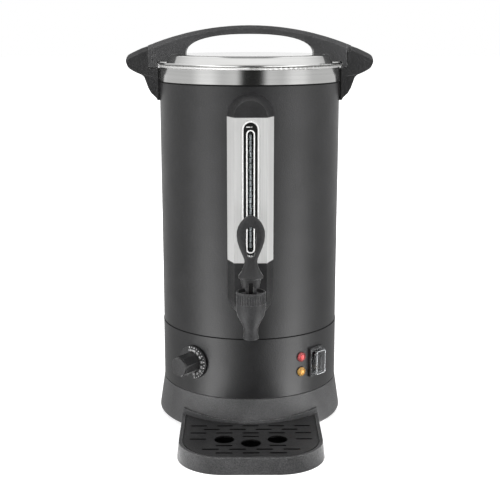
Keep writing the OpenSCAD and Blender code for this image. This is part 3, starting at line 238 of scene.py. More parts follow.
def mirrored_level(tree, x, y, front, angle, strength, side_share, aside):
    """Brightness of the surroundings towards (x, y), from the front over the sides to the back. The soft
    boxes stand at a compass angle to both sides of the dark front, which may lie a little aside."""
    turn = calc(tree, "ARCTAN2", x, calc(tree, "MULTIPLY", y, -1.0))
    signed = calc(tree, "SUBTRACT", calc(tree, "MULTIPLY", turn, 180 / math.pi), aside)
    degrees = calc(tree, "ABSOLUTE", signed)
    level = remap(tree, degrees, GAP_HALF, GAP_HALF + GAP_FADE, front, SURROUNDINGS)
    glow = remap(tree, degrees, GLOW_START, GLOW_END, GAP_GLOW, 0.0)
    out_of_gap = remap(tree, degrees, GAP_HALF, GAP_HALF + GAP_FADE)
    level = calc(tree, "ADD", level, calc(tree, "MULTIPLY", glow, out_of_gap))
    off_box = calc(tree, "ABSOLUTE", calc(tree, "SUBTRACT", degrees, angle))
    box = remap(tree, off_box, BOX_HALF, BOX_HALF + BOX_FADE, strength, 0.0)
    side = remap(tree, degrees, SIDE_START, SIDE_END, 1.0, side_share)
    rear = remap(tree, degrees, REAR_START, REAR_END, 0.0, REAR_GLOW)
    return calc(tree, "ADD", calc(tree, "ADD", calc(tree, "MULTIPLY", level, side), box), rear)


print("surroundings: gap", 2 * GAP_HALF, "box", 2 * BOX_HALF, "degrees wide")

# %% [markdown]
# The world shows this picture to glossy surfaces only. The camera, also through a clear piece, sees plain
# white, and all the rest gets an even, plain light.

# %% World
# a direction's Z says how far up it looks: 0 is the horizon and 1 straight up
CEILING_START, CEILING_END = 0.25, 0.62
OPENING_START, OPENING_END, OPENING_LEVEL = 0.90, 0.94, 0.06
ROOM_LEVEL = 0.42  # the even light on all that isn't glossy

world = bpy.data.worlds.new("studio")
scene.world = world
world.use_nodes = True
sky = world.node_tree
sky.nodes.clear()
out = add_node(sky, "ShaderNodeOutputWorld", (600, 0))
paths = add_node(sky, "ShaderNodeLightPath", (-600, 300))
x, y, up = xyz_of(sky, add_node(sky, "ShaderNodeTexCoord", (-900, 0)).outputs["Generated"])
# towards the horizon the soft boxes fade, and the sides are as bright as the rest
around = mirrored_level(sky, x, y, front=0.02, angle=60.0,
                        strength=remap(sky, up, 0.02, 0.30, 0.24, 1.2),
                        side_share=remap(sky, up, 0.05, 0.30, 1.0, 0.65), aside=3.0)
ceiling = remap(sky, up, CEILING_START, CEILING_END)
walls = calc(sky, "MULTIPLY", around, calc(sky, "SUBTRACT", 1.0, ceiling))
opening = remap(sky, up, OPENING_START, OPENING_END, 1.0, OPENING_LEVEL)
glossy_level = calc(sky, "MULTIPLY", calc(sky, "ADD", walls, ceiling), opening)
layers = {}
for title, level in (("plain", ROOM_LEVEL), ("mirrored", glossy_level), ("white", 1.0)):
    layer = add_node(sky, "ShaderNodeBackground")
    feed(sky, layer, "Color", (1, 1, 1, 1))
    feed(sky, layer, "Strength", level)
    layers[title] = layer.outputs[0]
backdrop = mix_shaders(sky, paths.outputs["Is Glossy Ray"], layers["plain"], layers["mirrored"])
sky.links.new(mix_shaders(sky, seen(sky, paths), backdrop, layers["white"]), out.inputs["Surface"])
scene.view_settings.view_transform = "Standard"
print("world ready")

# %% [markdown]
# ## Floor
#
# The urn stands on a wide plane. In glossy surfaces the plane shows the same surroundings as the world, so
# the streaks on the body run on below the horizon. There the picture changes with the distance from the
# urn, so each of its values is given as five numbers, for five distances.

# %% Floor
DISTANCES = (0.17, 0.34, 0.8, 2.6, 7.0)

bpy.ops.object.select_all(action="DESELECT")
bpy.ops.mesh.primitive_plane_add(size=30, location=(0, 0, 0))
floor = bpy.context.object
floor.name = "floor"
paper = bpy.data.materials.new("paper")
paper.use_nodes = True
tree = paper.node_tree
tree.nodes.clear()
out = add_node(tree, "ShaderNodeOutputMaterial", (600, 0))
paths = add_node(tree, "ShaderNodeLightPath", (-400, 300))
spot = own_place(tree)
x, y, z = xyz_of(tree, spot)
length = add_node(tree, "ShaderNodeVectorMath", (-700, -200), operation="LENGTH")
feed(tree, length, 0, spot)
distance = length.outputs["Value"]


def by_distance(*values):
    """A value that runs through five numbers, one for each of the five distances from the axis."""
    total = values[0]
    for near, far, first, last in zip(DISTANCES, DISTANCES[1:], values, values[1:]):
        total = calc(tree, "ADD", total, remap(tree, distance, near, far, 0.0, last - first))
    return total


print("floor, with its picture at", len(DISTANCES), "distances")

# %% [markdown]
# The eye should read the floor as white paper. It is a pale, matte surface that adds a little light of its
# own for what is seen, more of it further away, so it stays white up to the horizon and keeps the soft
# shadow under the urn.

# %% Paper
NEAR, FAR, NEAR_LIGHT, FAR_LIGHT = 0.35, 0.9, 0.48, 1.1

own_light = remap(tree, distance, NEAR, FAR, NEAR_LIGHT, FAR_LIGHT)
matte = add_node(tree, "ShaderNodeBsdfDiffuse", (0, 0))
feed(tree, matte, "Color", (0.82, 0.82, 0.82, 1))
glow = add_node(tree, "ShaderNodeEmission", (0, -150))
feed(tree, glow, "Color", (1, 1, 1, 1))
feed(tree, glow, "Strength", calc(tree, "MULTIPLY", seen(tree, paths), own_light))
lit = add_node(tree, "ShaderNodeAddShader", (300, 0))
tree.links.new(matte.outputs[0], lit.inputs[0])
tree.links.new(glow.outputs[0], lit.inputs[1])
around = mirrored_level(tree, x, y,
                        front=by_distance(0.45, 0.20, 0.10, 0.03, 0.02),
                        angle=by_distance(34.0, 45.0, 56.0, 58.0, 60.0),
                        strength=by_distance(3.0, 2.4, 1.8, 0.85, 0.24),
                        side_share=by_distance(0.75, 0.7, 0.7, 0.8, 1.0),
                        aside=by_distance(4.0, 4.0, 3.0, 1.5, 3.0))
polished = add_node(tree, "ShaderNodeEmission", (0, -300))
feed(tree, polished, "Color", (1, 1, 1, 1))
feed(tree, polished, "Strength", around)
both = mix_shaders(tree, paths.outputs["Is Glossy Ray"], lit.outputs[0], polished.outputs[0])
tree.links.new(both, out.inputs["Surface"])
floor.data.materials.append(paper)
print("paper ready")

# %% [markdown]
# ## Effects that several finishes share
#
# Five node groups: the fine pebble of a moulded or coated skin, the round brush marks of spun and rolled
# steel, the upright marks of brushed strip, the pale edge of a piece that is handled, partly wear and
# partly a painted highlight, and the soft smudges that make gloss uneven.

# %% Shared effects
def new_group(name, inputs, outputs):
    """A node group with number inputs, each with its usual value, and number outputs."""
    group = bpy.data.node_groups.new(name, "ShaderNodeTree")
    for title, value in inputs.items():
        socket = group.interface.new_socket(title, in_out="INPUT", socket_type="NodeSocketFloat")
        socket.default_value = value
    for title in outputs:
        group.interface.new_socket(title, in_out="OUTPUT", socket_type="NodeSocketFloat")
    return group, add_node(group, "NodeGroupInput", (-900, 0)), add_node(group, "NodeGroupOutput", (600, 0))


# pebble: a fine, even texture, with slow changes in how strong it is
pebble, given, result = new_group("pebble", {"Scale": 1800.0, "Patches": 0.35}, ("Height", "Shade"))
place = own_place(pebble)
fine = noise(pebble, place, given.outputs["Scale"], detail=3.0, rough=0.65)
slow = noise(pebble, place, scale=28.0)
change = remap(pebble, slow, *WIDE_RANGE, -0.5, 0.5)
level = calc(pebble, "ADD", 1.0, calc(pebble, "MULTIPLY", change, given.outputs["Patches"]))
pebble.links.new(calc(pebble, "MULTIPLY", fine, level), result.inputs["Height"])
pebble.links.new(slow, result.inputs["Shade"])
print("group:", pebble.name)

# %% [markdown]
# Brush marks are noise that is stretched a long way in one direction. On spun and rolled steel they run
# round the upright axis, so the noise is read by angle, radius and height. On brushed strip they run
# straight up.

# %% Brush marks
# spun: marks that run round the upright axis, on walls and on flat tops alike
spun, given, result = new_group("spun", {"Fineness": 3500.0}, ("Height", "Tone"))
x, y, z = xyz_of(spun, own_place(spun))
radius = calc(spun, "SQRT", calc(spun, "ADD", calc(spun, "MULTIPLY", x, x), calc(spun, "MULTIPLY", y, y)))
turn = calc(spun, "ARCTAN2", x, y)
for title, along, across, detail, rough in (("Height", 1.6, given.outputs["Fineness"], 4.0, 0.7),
                                            ("Tone", 0.8, 300.0, 2.0, 0.5)):
    rolled = vector_of(spun, calc(spun, "MULTIPLY", turn, along), calc(spun, "MULTIPLY", radius, across),
                       calc(spun, "MULTIPLY", z, across))
    spun.links.new(noise(spun, rolled, 1.0, detail, rough), result.inputs[title])

# drawn: upright marks, on strip that was brushed along its length
drawn, given, result = new_group("drawn", {"Fineness": 3500.0}, ("Height", "Tone"))
place = own_place(drawn)
for title, across, along, detail in (("Height", 1.0, 12.0, 4.0), ("Tone", 0.12, 5.0, 2.0)):
    sideways = calc(drawn, "MULTIPLY", given.outputs["Fineness"], across)
    product = add_node(drawn, "ShaderNodeVectorMath", (-300, -300), operation="MULTIPLY")
    feed(drawn, product, 0, place)
    feed(drawn, product, 1, vector_of(drawn, sideways, sideways, along))
    drawn.links.new(noise(drawn, product.outputs[0], 1.0, detail, rough=0.6), result.inputs[title])
print("groups:", spun.name, drawn.name)

# %% [markdown]
# An edge is found by asking for a rounded normal: on a flat face it is the same as the true one, and at an
# edge the two differ. Smudges need only a slow noise between two values of roughness.

# %% Wear, painted edge highlight and smudges
# how alike the two normals are where an edge begins to show, and where it shows in full
ALIKE, TURNED_AWAY = 0.98, 0.80

# wear_and_edge_light: a mask of pale edges, partly wear and partly a painted highlight, where the rounded
# normal leaves the true one, broken up by noise
wear_and_edge_light, given, result = new_group("wear_and_edge_light", {"Width": 0.0008, "Amount": 0.5}, ("Mask",))
rounded = add_node(wear_and_edge_light, "ShaderNodeBevel", (-700, 100), samples=4)
feed(wear_and_edge_light, rounded, "Radius", given.outputs["Width"])
likeness = add_node(wear_and_edge_light, "ShaderNodeVectorMath", (-500, 0), operation="DOT_PRODUCT")
feed(wear_and_edge_light, likeness, 0, rounded.outputs[0])
feed(wear_and_edge_light, likeness, 1, add_node(wear_and_edge_light, "ShaderNodeNewGeometry", (-700, -100)).outputs["Normal"])
edge = remap(wear_and_edge_light, likeness.outputs["Value"], ALIKE, TURNED_AWAY)
broken = remap(wear_and_edge_light, noise(wear_and_edge_light, own_place(wear_and_edge_light), scale=260.0, detail=3.0), *NARROW_RANGE)
mask = calc(wear_and_edge_light, "MULTIPLY", edge, broken)
mask = calc(wear_and_edge_light, "MULTIPLY", mask, given.outputs["Amount"], clamp=True)
wear_and_edge_light.links.new(mask, result.inputs["Mask"])

# smudge: roughness that wanders between two values
smudge, given, result = new_group("smudge", {"Scale": 30.0, "Low": 0.3, "High": 0.4}, ("Roughness",))
drift = noise(smudge, own_place(smudge), given.outputs["Scale"], detail=4.0, rough=0.6)
cloud = remap(smudge, drift, *WIDE_RANGE)
span = calc(smudge, "SUBTRACT", given.outputs["High"], given.outputs["Low"])
level = calc(smudge, "ADD", given.outputs["Low"], calc(smudge, "MULTIPLY", cloud, span))
smudge.links.new(level, result.inputs["Roughness"])
print("effects:", [g.name for g in bpy.data.node_groups])

# %% [markdown]
# ## Finishes
#
# Each finish is one material. Plastics and coatings are nearly black, but never flat: the pebble breaks
# up the light, edges are a touch paler, partly from wear and partly a painted highlight, and the gloss
# wanders. Metals get the brush marks of the way they were made.

# %% Finish recipes
def effect(tree, group, **values):
    node = add_node(tree, "ShaderNodeGroup")
    node.node_tree = group
    for key, value in values.items():
        feed(tree, node, key.capitalize(), value)
    return node


def bump(tree, height, depth, distance=0.001):
    node = add_node(tree, "ShaderNodeBump", (-200, -300))
    feed(tree, node, "Strength", depth)
    feed(tree, node, "Distance", distance)
    feed(tree, node, "Height", height)
    return node.outputs["Normal"]


def start_material(name):
    material = bpy.data.materials.new(name)
    material.use_nodes = True
    tree = material.node_tree
    return material, tree, tree.nodes["Principled BSDF"]


def grey(level):
    return (level, level, level)


def times(colour, share):
    """A colour made darker or paler, with its fourth number."""
    return (*[min(channel * share, 1) for channel in colour], 1)


print("recipe helpers ready")

# %% [markdown]
# A moulded or coated skin has a pebble, whose pits are darker than its tops, and pale edges, partly worn
# and partly a painted highlight.

# %% Moulded and coated skins
SHEEN_SPREAD = 0.14
# the black of painted shade, where light hardly reaches
SHADE_BLACK = (0.001, 0.001, 0.001, 1)
DARKER, PALER = 0.88, 1.12  # how far the colour of a skin changes from place to place


def skin(name, colour, worn_and_lit, gloss, grain=1800.0, depth=0.12, wear_and_light=0.35, level=0.5, edge=0.0008,
         inside=None, speckle=0.5, sheen=0.0):
    """A moulded or coated skin: its colour, the colour of its pale edges, and its lowest and highest
    roughness. grain and depth are the fineness and the strength of the pebble, wear_and_light is how pale
    the edges are, partly from wear and partly a painted highlight, edge is how far from an edge that
    reaches, and level is how much it mirrors. inside is a helper that masks where shade is painted black,
    what no light reaches. speckle is how much darker the pits of the grain are than its tops, and sheen is
    the pale haze along an outline."""
    material, tree, shader = start_material(name)
    texture = effect(tree, pebble, scale=grain)
    edges = effect(tree, wear_and_edge_light, amount=wear_and_light, width=edge)
    shade = remap(tree, texture.outputs["Shade"], *WIDE_RANGE)
    dark = mix_colours(tree, shade, times(colour, DARKER), times(colour, PALER))
    tops = 1 / (1 - speckle / 2)
    pits = (1 - speckle) / (1 - speckle / 2)
    height = remap(tree, texture.outputs["Height"], *NARROW_RANGE)
    speckles = mix_colours(tree, height, (*grey(pits), 1), (*grey(tops), 1))
    dark = mix_colours(tree, 1.0, dark, speckles, "MULTIPLY")
    # edges turn paler: partly wear, partly a painted highlight along them
    tinted = mix_colours(tree, edges.outputs["Mask"], dark, (*worn_and_lit, 1))
    # where light hardly reaches, the colour is painted black as shade
    if inside:
        tinted = mix_colours(tree, inside(tree), tinted, SHADE_BLACK)
    feed(tree, shader, "Base Color", tinted)
    smudges = effect(tree, smudge, low=gloss[0], high=gloss[1])
    feed(tree, shader, "Roughness", smudges.outputs["Roughness"])
    feed(tree, shader, "Normal", bump(tree, texture.outputs["Height"], depth))
    feed(tree, shader, "Specular IOR Level", level)
    feed(tree, shader, "Sheen Weight", sheen)
    feed(tree, shader, "Sheen Roughness", SHEEN_SPREAD)
    return material


print("skin recipe ready")

# %% [markdown]
# Light hardly reaches two places, the floor of the tray under the grille and the slots of the grille. Each
# has a mask, found by height or by how the surface leans, where its plastic is painted black as shade.

# %% Masks of painted shade
# how far up a surface looks, from 0 for a wall to 1 for a flat top, at both ends of each mask
FLOOR_LEAN = (0.5, 0.7)
SLOT_LEAN = (0.985, 0.93)


def well(tree, floor_height=0.0045, slope_end=0.0060):
    """Mask of painted shade on the tray's sunk floor, which lies in the dark under the grille. Heights are
    in metres.
    """
    height = xyz_of(tree, own_place(tree))[2]
    upward = xyz_of(tree, add_node(tree, "ShaderNodeNewGeometry").outputs["True Normal"])[2]
    deep = remap(tree, height, slope_end, floor_height)
    return calc(tree, "MULTIPLY", deep, remap(tree, upward, *FLOOR_LEAN))


def slot_walls(tree, reach=0.0018):
    """Mask of painted shade on all that isn't flat: on the grille, the walls and edges of its slots and
    drains.
    """
    rounded = add_node(tree, "ShaderNodeBevel", samples=6)
    feed(tree, rounded, "Radius", reach)
    return remap(tree, xyz_of(tree, rounded.outputs[0])[2], *SLOT_LEAN)


print("masks ready")

# %% [markdown]
# Steel, alloy and copper mirror as metal does, and their brush marks come from one of the two groups.

# %% Bare metal
BRUSH_DEPTH = 0.0002  # metres
SMUDGE_SCALE = 14.0


def metal(name, colour, gloss, fineness=3500.0, depth=0.05, tone=0.12, marks=None, stretch=0.0, bare=1.0):
    """Bare metal with brush marks, round the upright axis if nothing else is said. tone is how much darker
    the marks may be. stretch draws what it mirrors out sideways, as upright brush marks do. A value of bare
    below 1 gives the pale bloom of a fine satin ground, which scatters a part of the light."""
    material, tree, shader = start_material(name)
    lines = effect(tree, marks or spun, fineness=fineness)
    shade = remap(tree, lines.outputs["Tone"], *WIDE_RANGE)
    feed(tree, shader, "Base Color", mix_colours(tree, shade, times(colour, 1 - tone), (*colour, 1)))
    feed(tree, shader, "Metallic", bare)
    feed(tree, shader, "Anisotropic", stretch)
    smudges = effect(tree, smudge, scale=SMUDGE_SCALE, low=gloss[0], high=gloss[1])
    feed(tree, shader, "Roughness", smudges.outputs["Roughness"])
    feed(tree, shader, "Normal", bump(tree, lines.outputs["Height"], depth, BRUSH_DEPTH))
    return material


print("metal recipe ready")

# %% [markdown]
# A clear piece lets the lamps through in its own colour, so that what lies behind it isn't in the dark:
# for shadow rays it is a plain see-through shader.

# %% Clear plastic and glass
def clear(name, colour, gloss, ior=1.49, clarity=1.0, coat=0.0):
    """A clear piece: plastic, glass or soft vinyl. Lamps shine through it on what is behind. clarity is how
    much passes, the rest is the milky look of a soft or coloured plastic. coat is a shiny skin over it."""
    material, tree, shader = start_material(name)
    texture = effect(tree, pebble, scale=240.0)
    shade = remap(tree, texture.outputs["Shade"], *WIDE_RANGE)
    feed(tree, shader, "Base Color", mix_colours(tree, shade, times(colour, 0.96), (*colour, 1)))
    feed(tree, shader, "Transmission Weight", clarity)
    feed(tree, shader, "Coat Weight", coat)
    feed(tree, shader, "IOR", ior)
    smudges = effect(tree, smudge, low=gloss[0], high=gloss[1])
    feed(tree, shader, "Roughness", smudges.outputs["Roughness"])
    feed(tree, shader, "Normal", bump(tree, texture.outputs["Height"], depth=0.02, distance=0.0004))
    through = add_node(tree, "ShaderNodeBsdfTransparent", (0, -400))
    feed(tree, through, "Color", (*colour, 1))
    shadow = add_node(tree, "ShaderNodeLightPath", (0, 300)).outputs["Is Shadow Ray"]
    both = mix_shaders(tree, shadow, shader.outputs[0], through.outputs[0])
    tree.links.new(both, tree.nodes["Material Output"].inputs["Surface"])
    return material


print("clear recipe ready")

# %% [markdown]
# Every material slot of the record has one finish. Print, the tap and the beads differ a little from their
# slot and get a finish of their own.

# %% Finishes of the slots
FINISHES = {
    "coated_steel": skin("coated_steel", (0.007, 0.007, 0.0075), grey(0.06), (0.32, 0.38),
                         grain=620.0, depth=0.26, wear_and_light=0.2, level=0.82),
    # the tray: its sunk floor is painted black as shade, and its pale edges are partly a painted highlight
    "tray_plastic": skin("tray_plastic", (0.046, 0.046, 0.047), grey(0.24), (0.44, 0.54),
                         grain=620.0, depth=1.0, wear_and_light=0.8, level=0.35, edge=0.0016, inside=well),
    "black_plastic": skin("black_plastic", (0.011, 0.011, 0.0115), grey(0.09), (0.29, 0.38),
                          grain=520.0, depth=0.5, wear_and_light=0.6, level=0.75, edge=0.0013, sheen=0.35),
    "dark_insert": skin("dark_insert", grey(0.008), grey(0.05), (0.26, 0.36), grain=2600.0, depth=0.05),
    "scale_print": skin("scale_print", (0.86, 0.87, 0.88), grey(0.80), (0.35, 0.45),
                        grain=2600.0, depth=0.05),
    "silicone": skin("silicone", (0.58, 0.56, 0.51), (0.65, 0.63, 0.6), (0.5, 0.6),
                     grain=900.0, depth=0.06),
    "foot_rubber": skin("foot_rubber", grey(0.022), grey(0.08), (0.6, 0.75), grain=1200.0, depth=0.15),
    "fitting": skin("fitting", (0.72, 0.70, 0.64), (0.8, 0.8, 0.76), (0.35, 0.45), depth=0.06),
    "ceramic": skin("ceramic", (0.66, 0.62, 0.54), (0.74, 0.7, 0.62), (0.5, 0.6), grain=1400.0, depth=0.12),
    "lead_cover": skin("lead_cover", (0.33, 0.07, 0.05), (0.4, 0.2, 0.16), (0.5, 0.6),
                       grain=1600.0, depth=0.25),
    "reset_red": skin("reset_red", (0.48, 0.03, 0.03), (0.6, 0.2, 0.2), (0.3, 0.4), depth=0.05),
    "bright_steel": metal("bright_steel", (0.77, 0.77, 0.76), (0.14, 0.22), 3200.0),
    "satin_steel": metal("satin_steel", (0.84, 0.84, 0.83), (0.46, 0.54), 3200.0, depth=0.06, tone=0.10,
                         marks=drawn, stretch=0.9, bare=0.82),
    "alloy": metal("alloy", (0.62, 0.63, 0.64), (0.42, 0.55), 900.0, depth=0.2),
    "element_sheath": metal("element_sheath", (0.36, 0.35, 0.34), (0.38, 0.5), 900.0, depth=0.1, tone=0.3),
    "copper_pipe": metal("copper_pipe", (0.83, 0.50, 0.34), (0.28, 0.42), 1200.0, depth=0.08, tone=0.25),
    "clear_plastic": clear("clear_plastic", (0.95, 0.96, 0.97), (0.03, 0.08)),
    "gauge_glass": clear("gauge_glass", (0.97, 0.98, 0.98), (0.0, 0.03), ior=1.47),
    "clear_boot": clear("clear_boot", (0.95, 0.96, 0.97), (0.03, 0.08), ior=1.18, coat=0.35),
    "red_lens": clear("red_lens", (0.82, 0.15, 0.16), (0.03, 0.06), clarity=0.66),
    "amber_lens": clear("amber_lens", (0.92, 0.54, 0.14), (0.03, 0.06), clarity=0.66),
}
PRINT = skin("print", grey(0.78), grey(0.60), (0.35, 0.45), grain=2600.0, depth=0.04, wear_and_light=0.5)
TAP_PLASTIC = skin("tap_plastic", (0.026, 0.026, 0.027), grey(0.12), (0.42, 0.50),
                   grain=620.0, depth=0.4, wear_and_light=0.6, level=0.4, edge=0.0013, sheen=1.0)
# the beads: steel whose pale, mostly plain white colour is partly a painted highlight of their polish
BEAD_STEEL_AND_HIGHLIGHT = metal("bead_steel_and_highlight", (0.94, 0.94, 0.93), (0.18, 0.26), 3200.0, depth=0.02, tone=0.05, bare=0.35)
print("finishes:", len(FINISHES))

# %% [markdown]
# Some solids look a little different from others of the same slot, such as the polished lid, or the
# grille with its dark slots. All solids then get their finish.

# %% Finishes of the solids
OWN_FINISH = {
    # the arch: its pale edges are partly wear and partly a painted highlight
    "lid_handle": skin("handle_plastic", (0.020, 0.020, 0.021), grey(0.16), (0.32, 0.42),
                       grain=620.0, depth=0.6, wear_and_light=0.7, level=1.0, edge=0.0022, sheen=0.35),
    "lid_dome": metal("polished_steel", (0.80, 0.80, 0.79), (0.07, 0.12), 3200.0, depth=0.03, tone=0.08),
    "rim_band": metal("rolled_steel", (0.74, 0.74, 0.73), (0.12, 0.17), 3200.0, tone=0.10),
    "inner_tank": metal("tank_steel", (0.80, 0.80, 0.79), (0.30, 0.40), 3200.0, tone=0.10, bare=0.6),
    # the grille: the walls and edges of its slots and drains are painted black as shade
    "drip_grille": skin("grille_plastic", (0.017, 0.017, 0.0175), grey(0.12), (0.34, 0.44),
                        grain=520.0, depth=0.5, wear_and_light=0.7, level=0.7, edge=0.0010, inside=slot_walls),
    "foot_ring": skin("foot_plastic", (0.042, 0.042, 0.043), grey(0.14), (0.34, 0.44),
                      grain=760.0, depth=0.7, wear_and_light=0.45, level=1.0, speckle=0.6),
    "switch_frame": FINISHES["black_plastic"],
    "tap_body": TAP_PLASTIC,
    "tap_collar": TAP_PLASTIC,
    "tap_lever": skin("lever_plastic", (0.018, 0.018, 0.0185), grey(0.12), (0.40, 0.48),
                      grain=620.0, depth=0.4, wear_and_light=0.6, level=0.45, edge=0.0013, sheen=0.9),
    "tap_stem": skin("stem_plastic", grey(0.02), grey(0.10), (0.30, 0.40), depth=0.06),
    "switch_rocker": skin("rocker_plastic", grey(0.005), grey(0.08), (0.26, 0.36),
                          grain=2600.0, depth=0.02, wear_and_light=0.6, level=0.3, edge=0.0010),
}
slot_of = {row["node"]: row["material_slot"] for row in frame["record"]["subparts"]}
for name, node in nodes.items():
    node.data.materials.clear()
    node.data.materials.append(OWN_FINISH.get(name, FINISHES[slot_of[name]]))
print("solids with a finish of their own:", sorted(OWN_FINISH))

# %% [markdown]
# ## Soft edges
#
# No moulded or pressed piece has a knife edge: light runs along its rounded edges and draws its outline.
# The solids have sharp edges, so each one that shows gets a copy whose loose triangles are merged, whose
# flat parts are joined again, and whose edges are then rounded by a bevel. The copy stands for the solid.

# %% Edit helpers
def only(thing):
    """Selects one object and nothing else."""
    bpy.ops.object.select_all(action="DESELECT")
    thing.select_set(True)
    bpy.context.view_layer.objects.active = thing


def named(thing, name):
    thing.name = thing.data.name = name
    return thing


def edit_all():
    """Edit mode, with the whole mesh selected."""
    bpy.ops.object.mode_set(mode="EDIT")
    bpy.ops.mesh.select_all(action="SELECT")


def apply_all(thing):
    only(thing)
    for modifier in list(thing.modifiers):
        bpy.ops.object.modifier_apply(modifier=modifier.name)


def round_edges(thing, width, segments=3, angle=34.0):
    bevel = thing.modifiers.new("round", "BEVEL")
    bevel.width = width * MM
    bevel.segments = segments
    bevel.limit_method = "ANGLE"
    bevel.angle_limit = math.radians(angle)
    bevel.miter_outer = "MITER_ARC"
    apply_all(thing)


def smooth_shade(thing, angle=32.0):
    only(thing)
    bpy.ops.object.shade_smooth_by_angle(angle=math.radians(angle))


def weigh_normals(thing):
    """Keeps flat faces flat next to rounded edges."""
    weigh = thing.modifiers.new("weigh", "WEIGHTED_NORMAL")
    weigh.keep_sharp = True
    apply_all(thing)


def finished(thing, body, slot, material=None):
    """The piece gets its finish and rides on its body."""
    thing.data.materials.clear()
    thing.data.materials.append(material or FINISHES[slot])
    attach(thing, body)
    return thing


print("edit helpers ready")

# %% [markdown]
# A flat face with a hole in it can't be one face of a mesh, so a solid with holes is cut through them.
# The front, the tap, the back and most pieces are cut upright through the axis. The dial, the lamps and the
# switch lie off to the side, so what carries them is cut at their compass angles too.

# %% Merged copies
# compass angles from the front to the right
DIAL_ANGLE, LAMP_ANGLE, SWITCH_ANGLE = -38.5, 34.0, 46.0
CUTS = {"base_band": (0, 90, DIAL_ANGLE, LAMP_ANGLE, SWITCH_ANGLE), "switch_frame": (SWITCH_ANGLE,),
        "switch_boot": (SWITCH_ANGLE,), "switch_rocker": (SWITCH_ANGLE,), "dial_knob": (DIAL_ANGLE,),
        "feet": (45, 135), "foot_ring": (0, 60, 120, 90), "outer_shell": (0, 90), "rim_band": (0, 90)}
# lines across the grille, through each row of slots and drains
ACROSS = {"drip_grille": (-127.4, -139.1, -150.5, -161.7, -169.8, -171, -182.8, -189.7, -200.7, -211.5)}
HAIR = 0.000001  # a thousandth of a millimetre
FLAT_WITHIN = math.radians(0.6)  # faces that turn less than this are one face


def merged_copy(name, title, cuts):
    """A copy of a solid as one closed skin with flat parts joined. A flat face with a hole in it can't be
    one face, so the skin is first cut by upright planes: through the axis, each at a compass angle, and
    across, where ACROSS names lines. The cuts stay as seams."""
    copy = bpy.data.objects.new(title, nodes[name].data.copy())
    scene.collection.objects.link(copy)
    only(copy)
    edit_all()
    bpy.ops.mesh.remove_doubles(threshold=2 * HAIR)
    planes = [((0, 0, 0), (math.cos(math.radians(a)), math.sin(math.radians(a)), 0)) for a in cuts]
    planes += [((0, y * MM, 0), (0, 1, 0)) for y in ACROSS.get(name, ())]
    for point, direction in planes:
        bpy.ops.mesh.select_all(action="SELECT")
        bpy.ops.mesh.bisect(plane_co=point, plane_no=direction)
        bpy.ops.mesh.mark_seam()
    bpy.ops.mesh.select_all(action="SELECT")
    bpy.ops.mesh.dissolve_limited(angle_limit=FLAT_WITHIN, delimit={"SEAM"})
    bpy.ops.object.mode_set(mode="OBJECT")
    return copy


print("solids with cuts of their own:", len(CUTS) + len(ACROSS))

# %% [markdown]
# Each radius is that of the real edge: wide on the arch, the ears and the tray, narrow on the steel and on
# the ribs of the tap.

# %% Soften the solids
SOFT_EDGES = {
    # solid: edge radius in millimetres
    "lid_handle": 2.6, "ear_left": 1.8, "ear_right": 1.8, "gauge_foot": 0.7, "gauge_cap": 0.7,
    "gauge_cover": 0.3, "tap_body": 0.5, "tap_collar": 0.25, "tap_lever": 0.9, "tap_stem": 0.3,
    "dial_knob": 0.45, "switch_frame": 0.5, "switch_boot": 0.5, "switch_rocker": 0.4,
    "drip_tray": 1.1, "drip_grille": 0.5, "foot_ring": 0.5, "base_band": 0.3, "cable_gland": 0.5,
    "outer_shell": 0.2, "rim_band": 0.2, "feet": 0.8, "gauge_lens": 0.25,
}
members_of = frame["record"]["behaviour"]["bodies"]
body_of = {name: body for body, members in members_of.items() for name in members}
softened = {}
for name, radius in SOFT_EDGES.items():
    piece = merged_copy(name, name + "_soft", CUTS.get(name, (0,)))
    round_edges(piece, radius)
    smooth_shade(piece)
    weigh_normals(piece)
    finished(piece, body_of[name], slot_of[name], OWN_FINISH.get(name))
    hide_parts(name)
    softened[name] = len(piece.data.polygons)
print("softened, with faces:", softened)

# %% [markdown]
# ## Return spring
#
# The spring over the valve has to give way when the lever lifts the stem. Its upper end stays under the
# bonnet. The copy made here is merged, smoothed and given a mesh of its own; it is not pressed together.

# %% Return spring
spring_low, spring_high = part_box("tap_spring")
return_spring = merged_copy("tap_spring", "return_spring", ())
smooth_shade(return_spring, 60)
finished(return_spring, "root", slot_of["tap_spring"])
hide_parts("tap_spring")
middle = [(low + high) / 2 for low, high in zip(spring_low, spring_high)]
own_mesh(return_spring)

# %% [markdown]
# ## Small pieces on the controls
#
# The dial, the lamps and the switch sit round the control band, each at its own compass angle. A piece for
# one of them is easiest to model lying flat, with x to the right, y up and z towards the viewer. It is
# then turned to its place on the band and the turn is applied, so the object itself stays at the origin.

# %% Place a flat piece on the side
BAND = 112.4  # radius of the control band
DIAL_FACE, DIAL_HEIGHT = BAND + 3.8, 89.5


def side_place(angle, radius, height):
    """The place on an upright round wall at a compass angle from the front, in millimetres."""
    turn = math.radians(angle)
    outward = Vector((math.sin(turn), -math.cos(turn), 0))
    right = Vector((math.cos(turn), math.sin(turn), 0))
    spot = outward * radius * MM + Vector((0, 0, height * MM))
    return Matrix((right, Vector((0, 0, 1)), outward)).transposed().to_4x4(), spot


def put(thing, angle, radius, height):
    """Stands a piece that lies flat up at its place on the side, and applies the turn."""
    turn, spot = side_place(angle, radius, height)
    only(thing)
    thing.matrix_world = Matrix.Translation(spot) @ turn @ thing.matrix_world
    bpy.ops.object.transform_apply(location=True, rotation=True, scale=True)
    return thing


def joined(things, name):
    bpy.ops.object.select_all(action="DESELECT")
    for thing in things:
        thing.select_set(True)
    bpy.context.view_layer.objects.active = things[0]
    bpy.ops.object.join()
    return named(things[0], name)


print("control band radius", BAND)

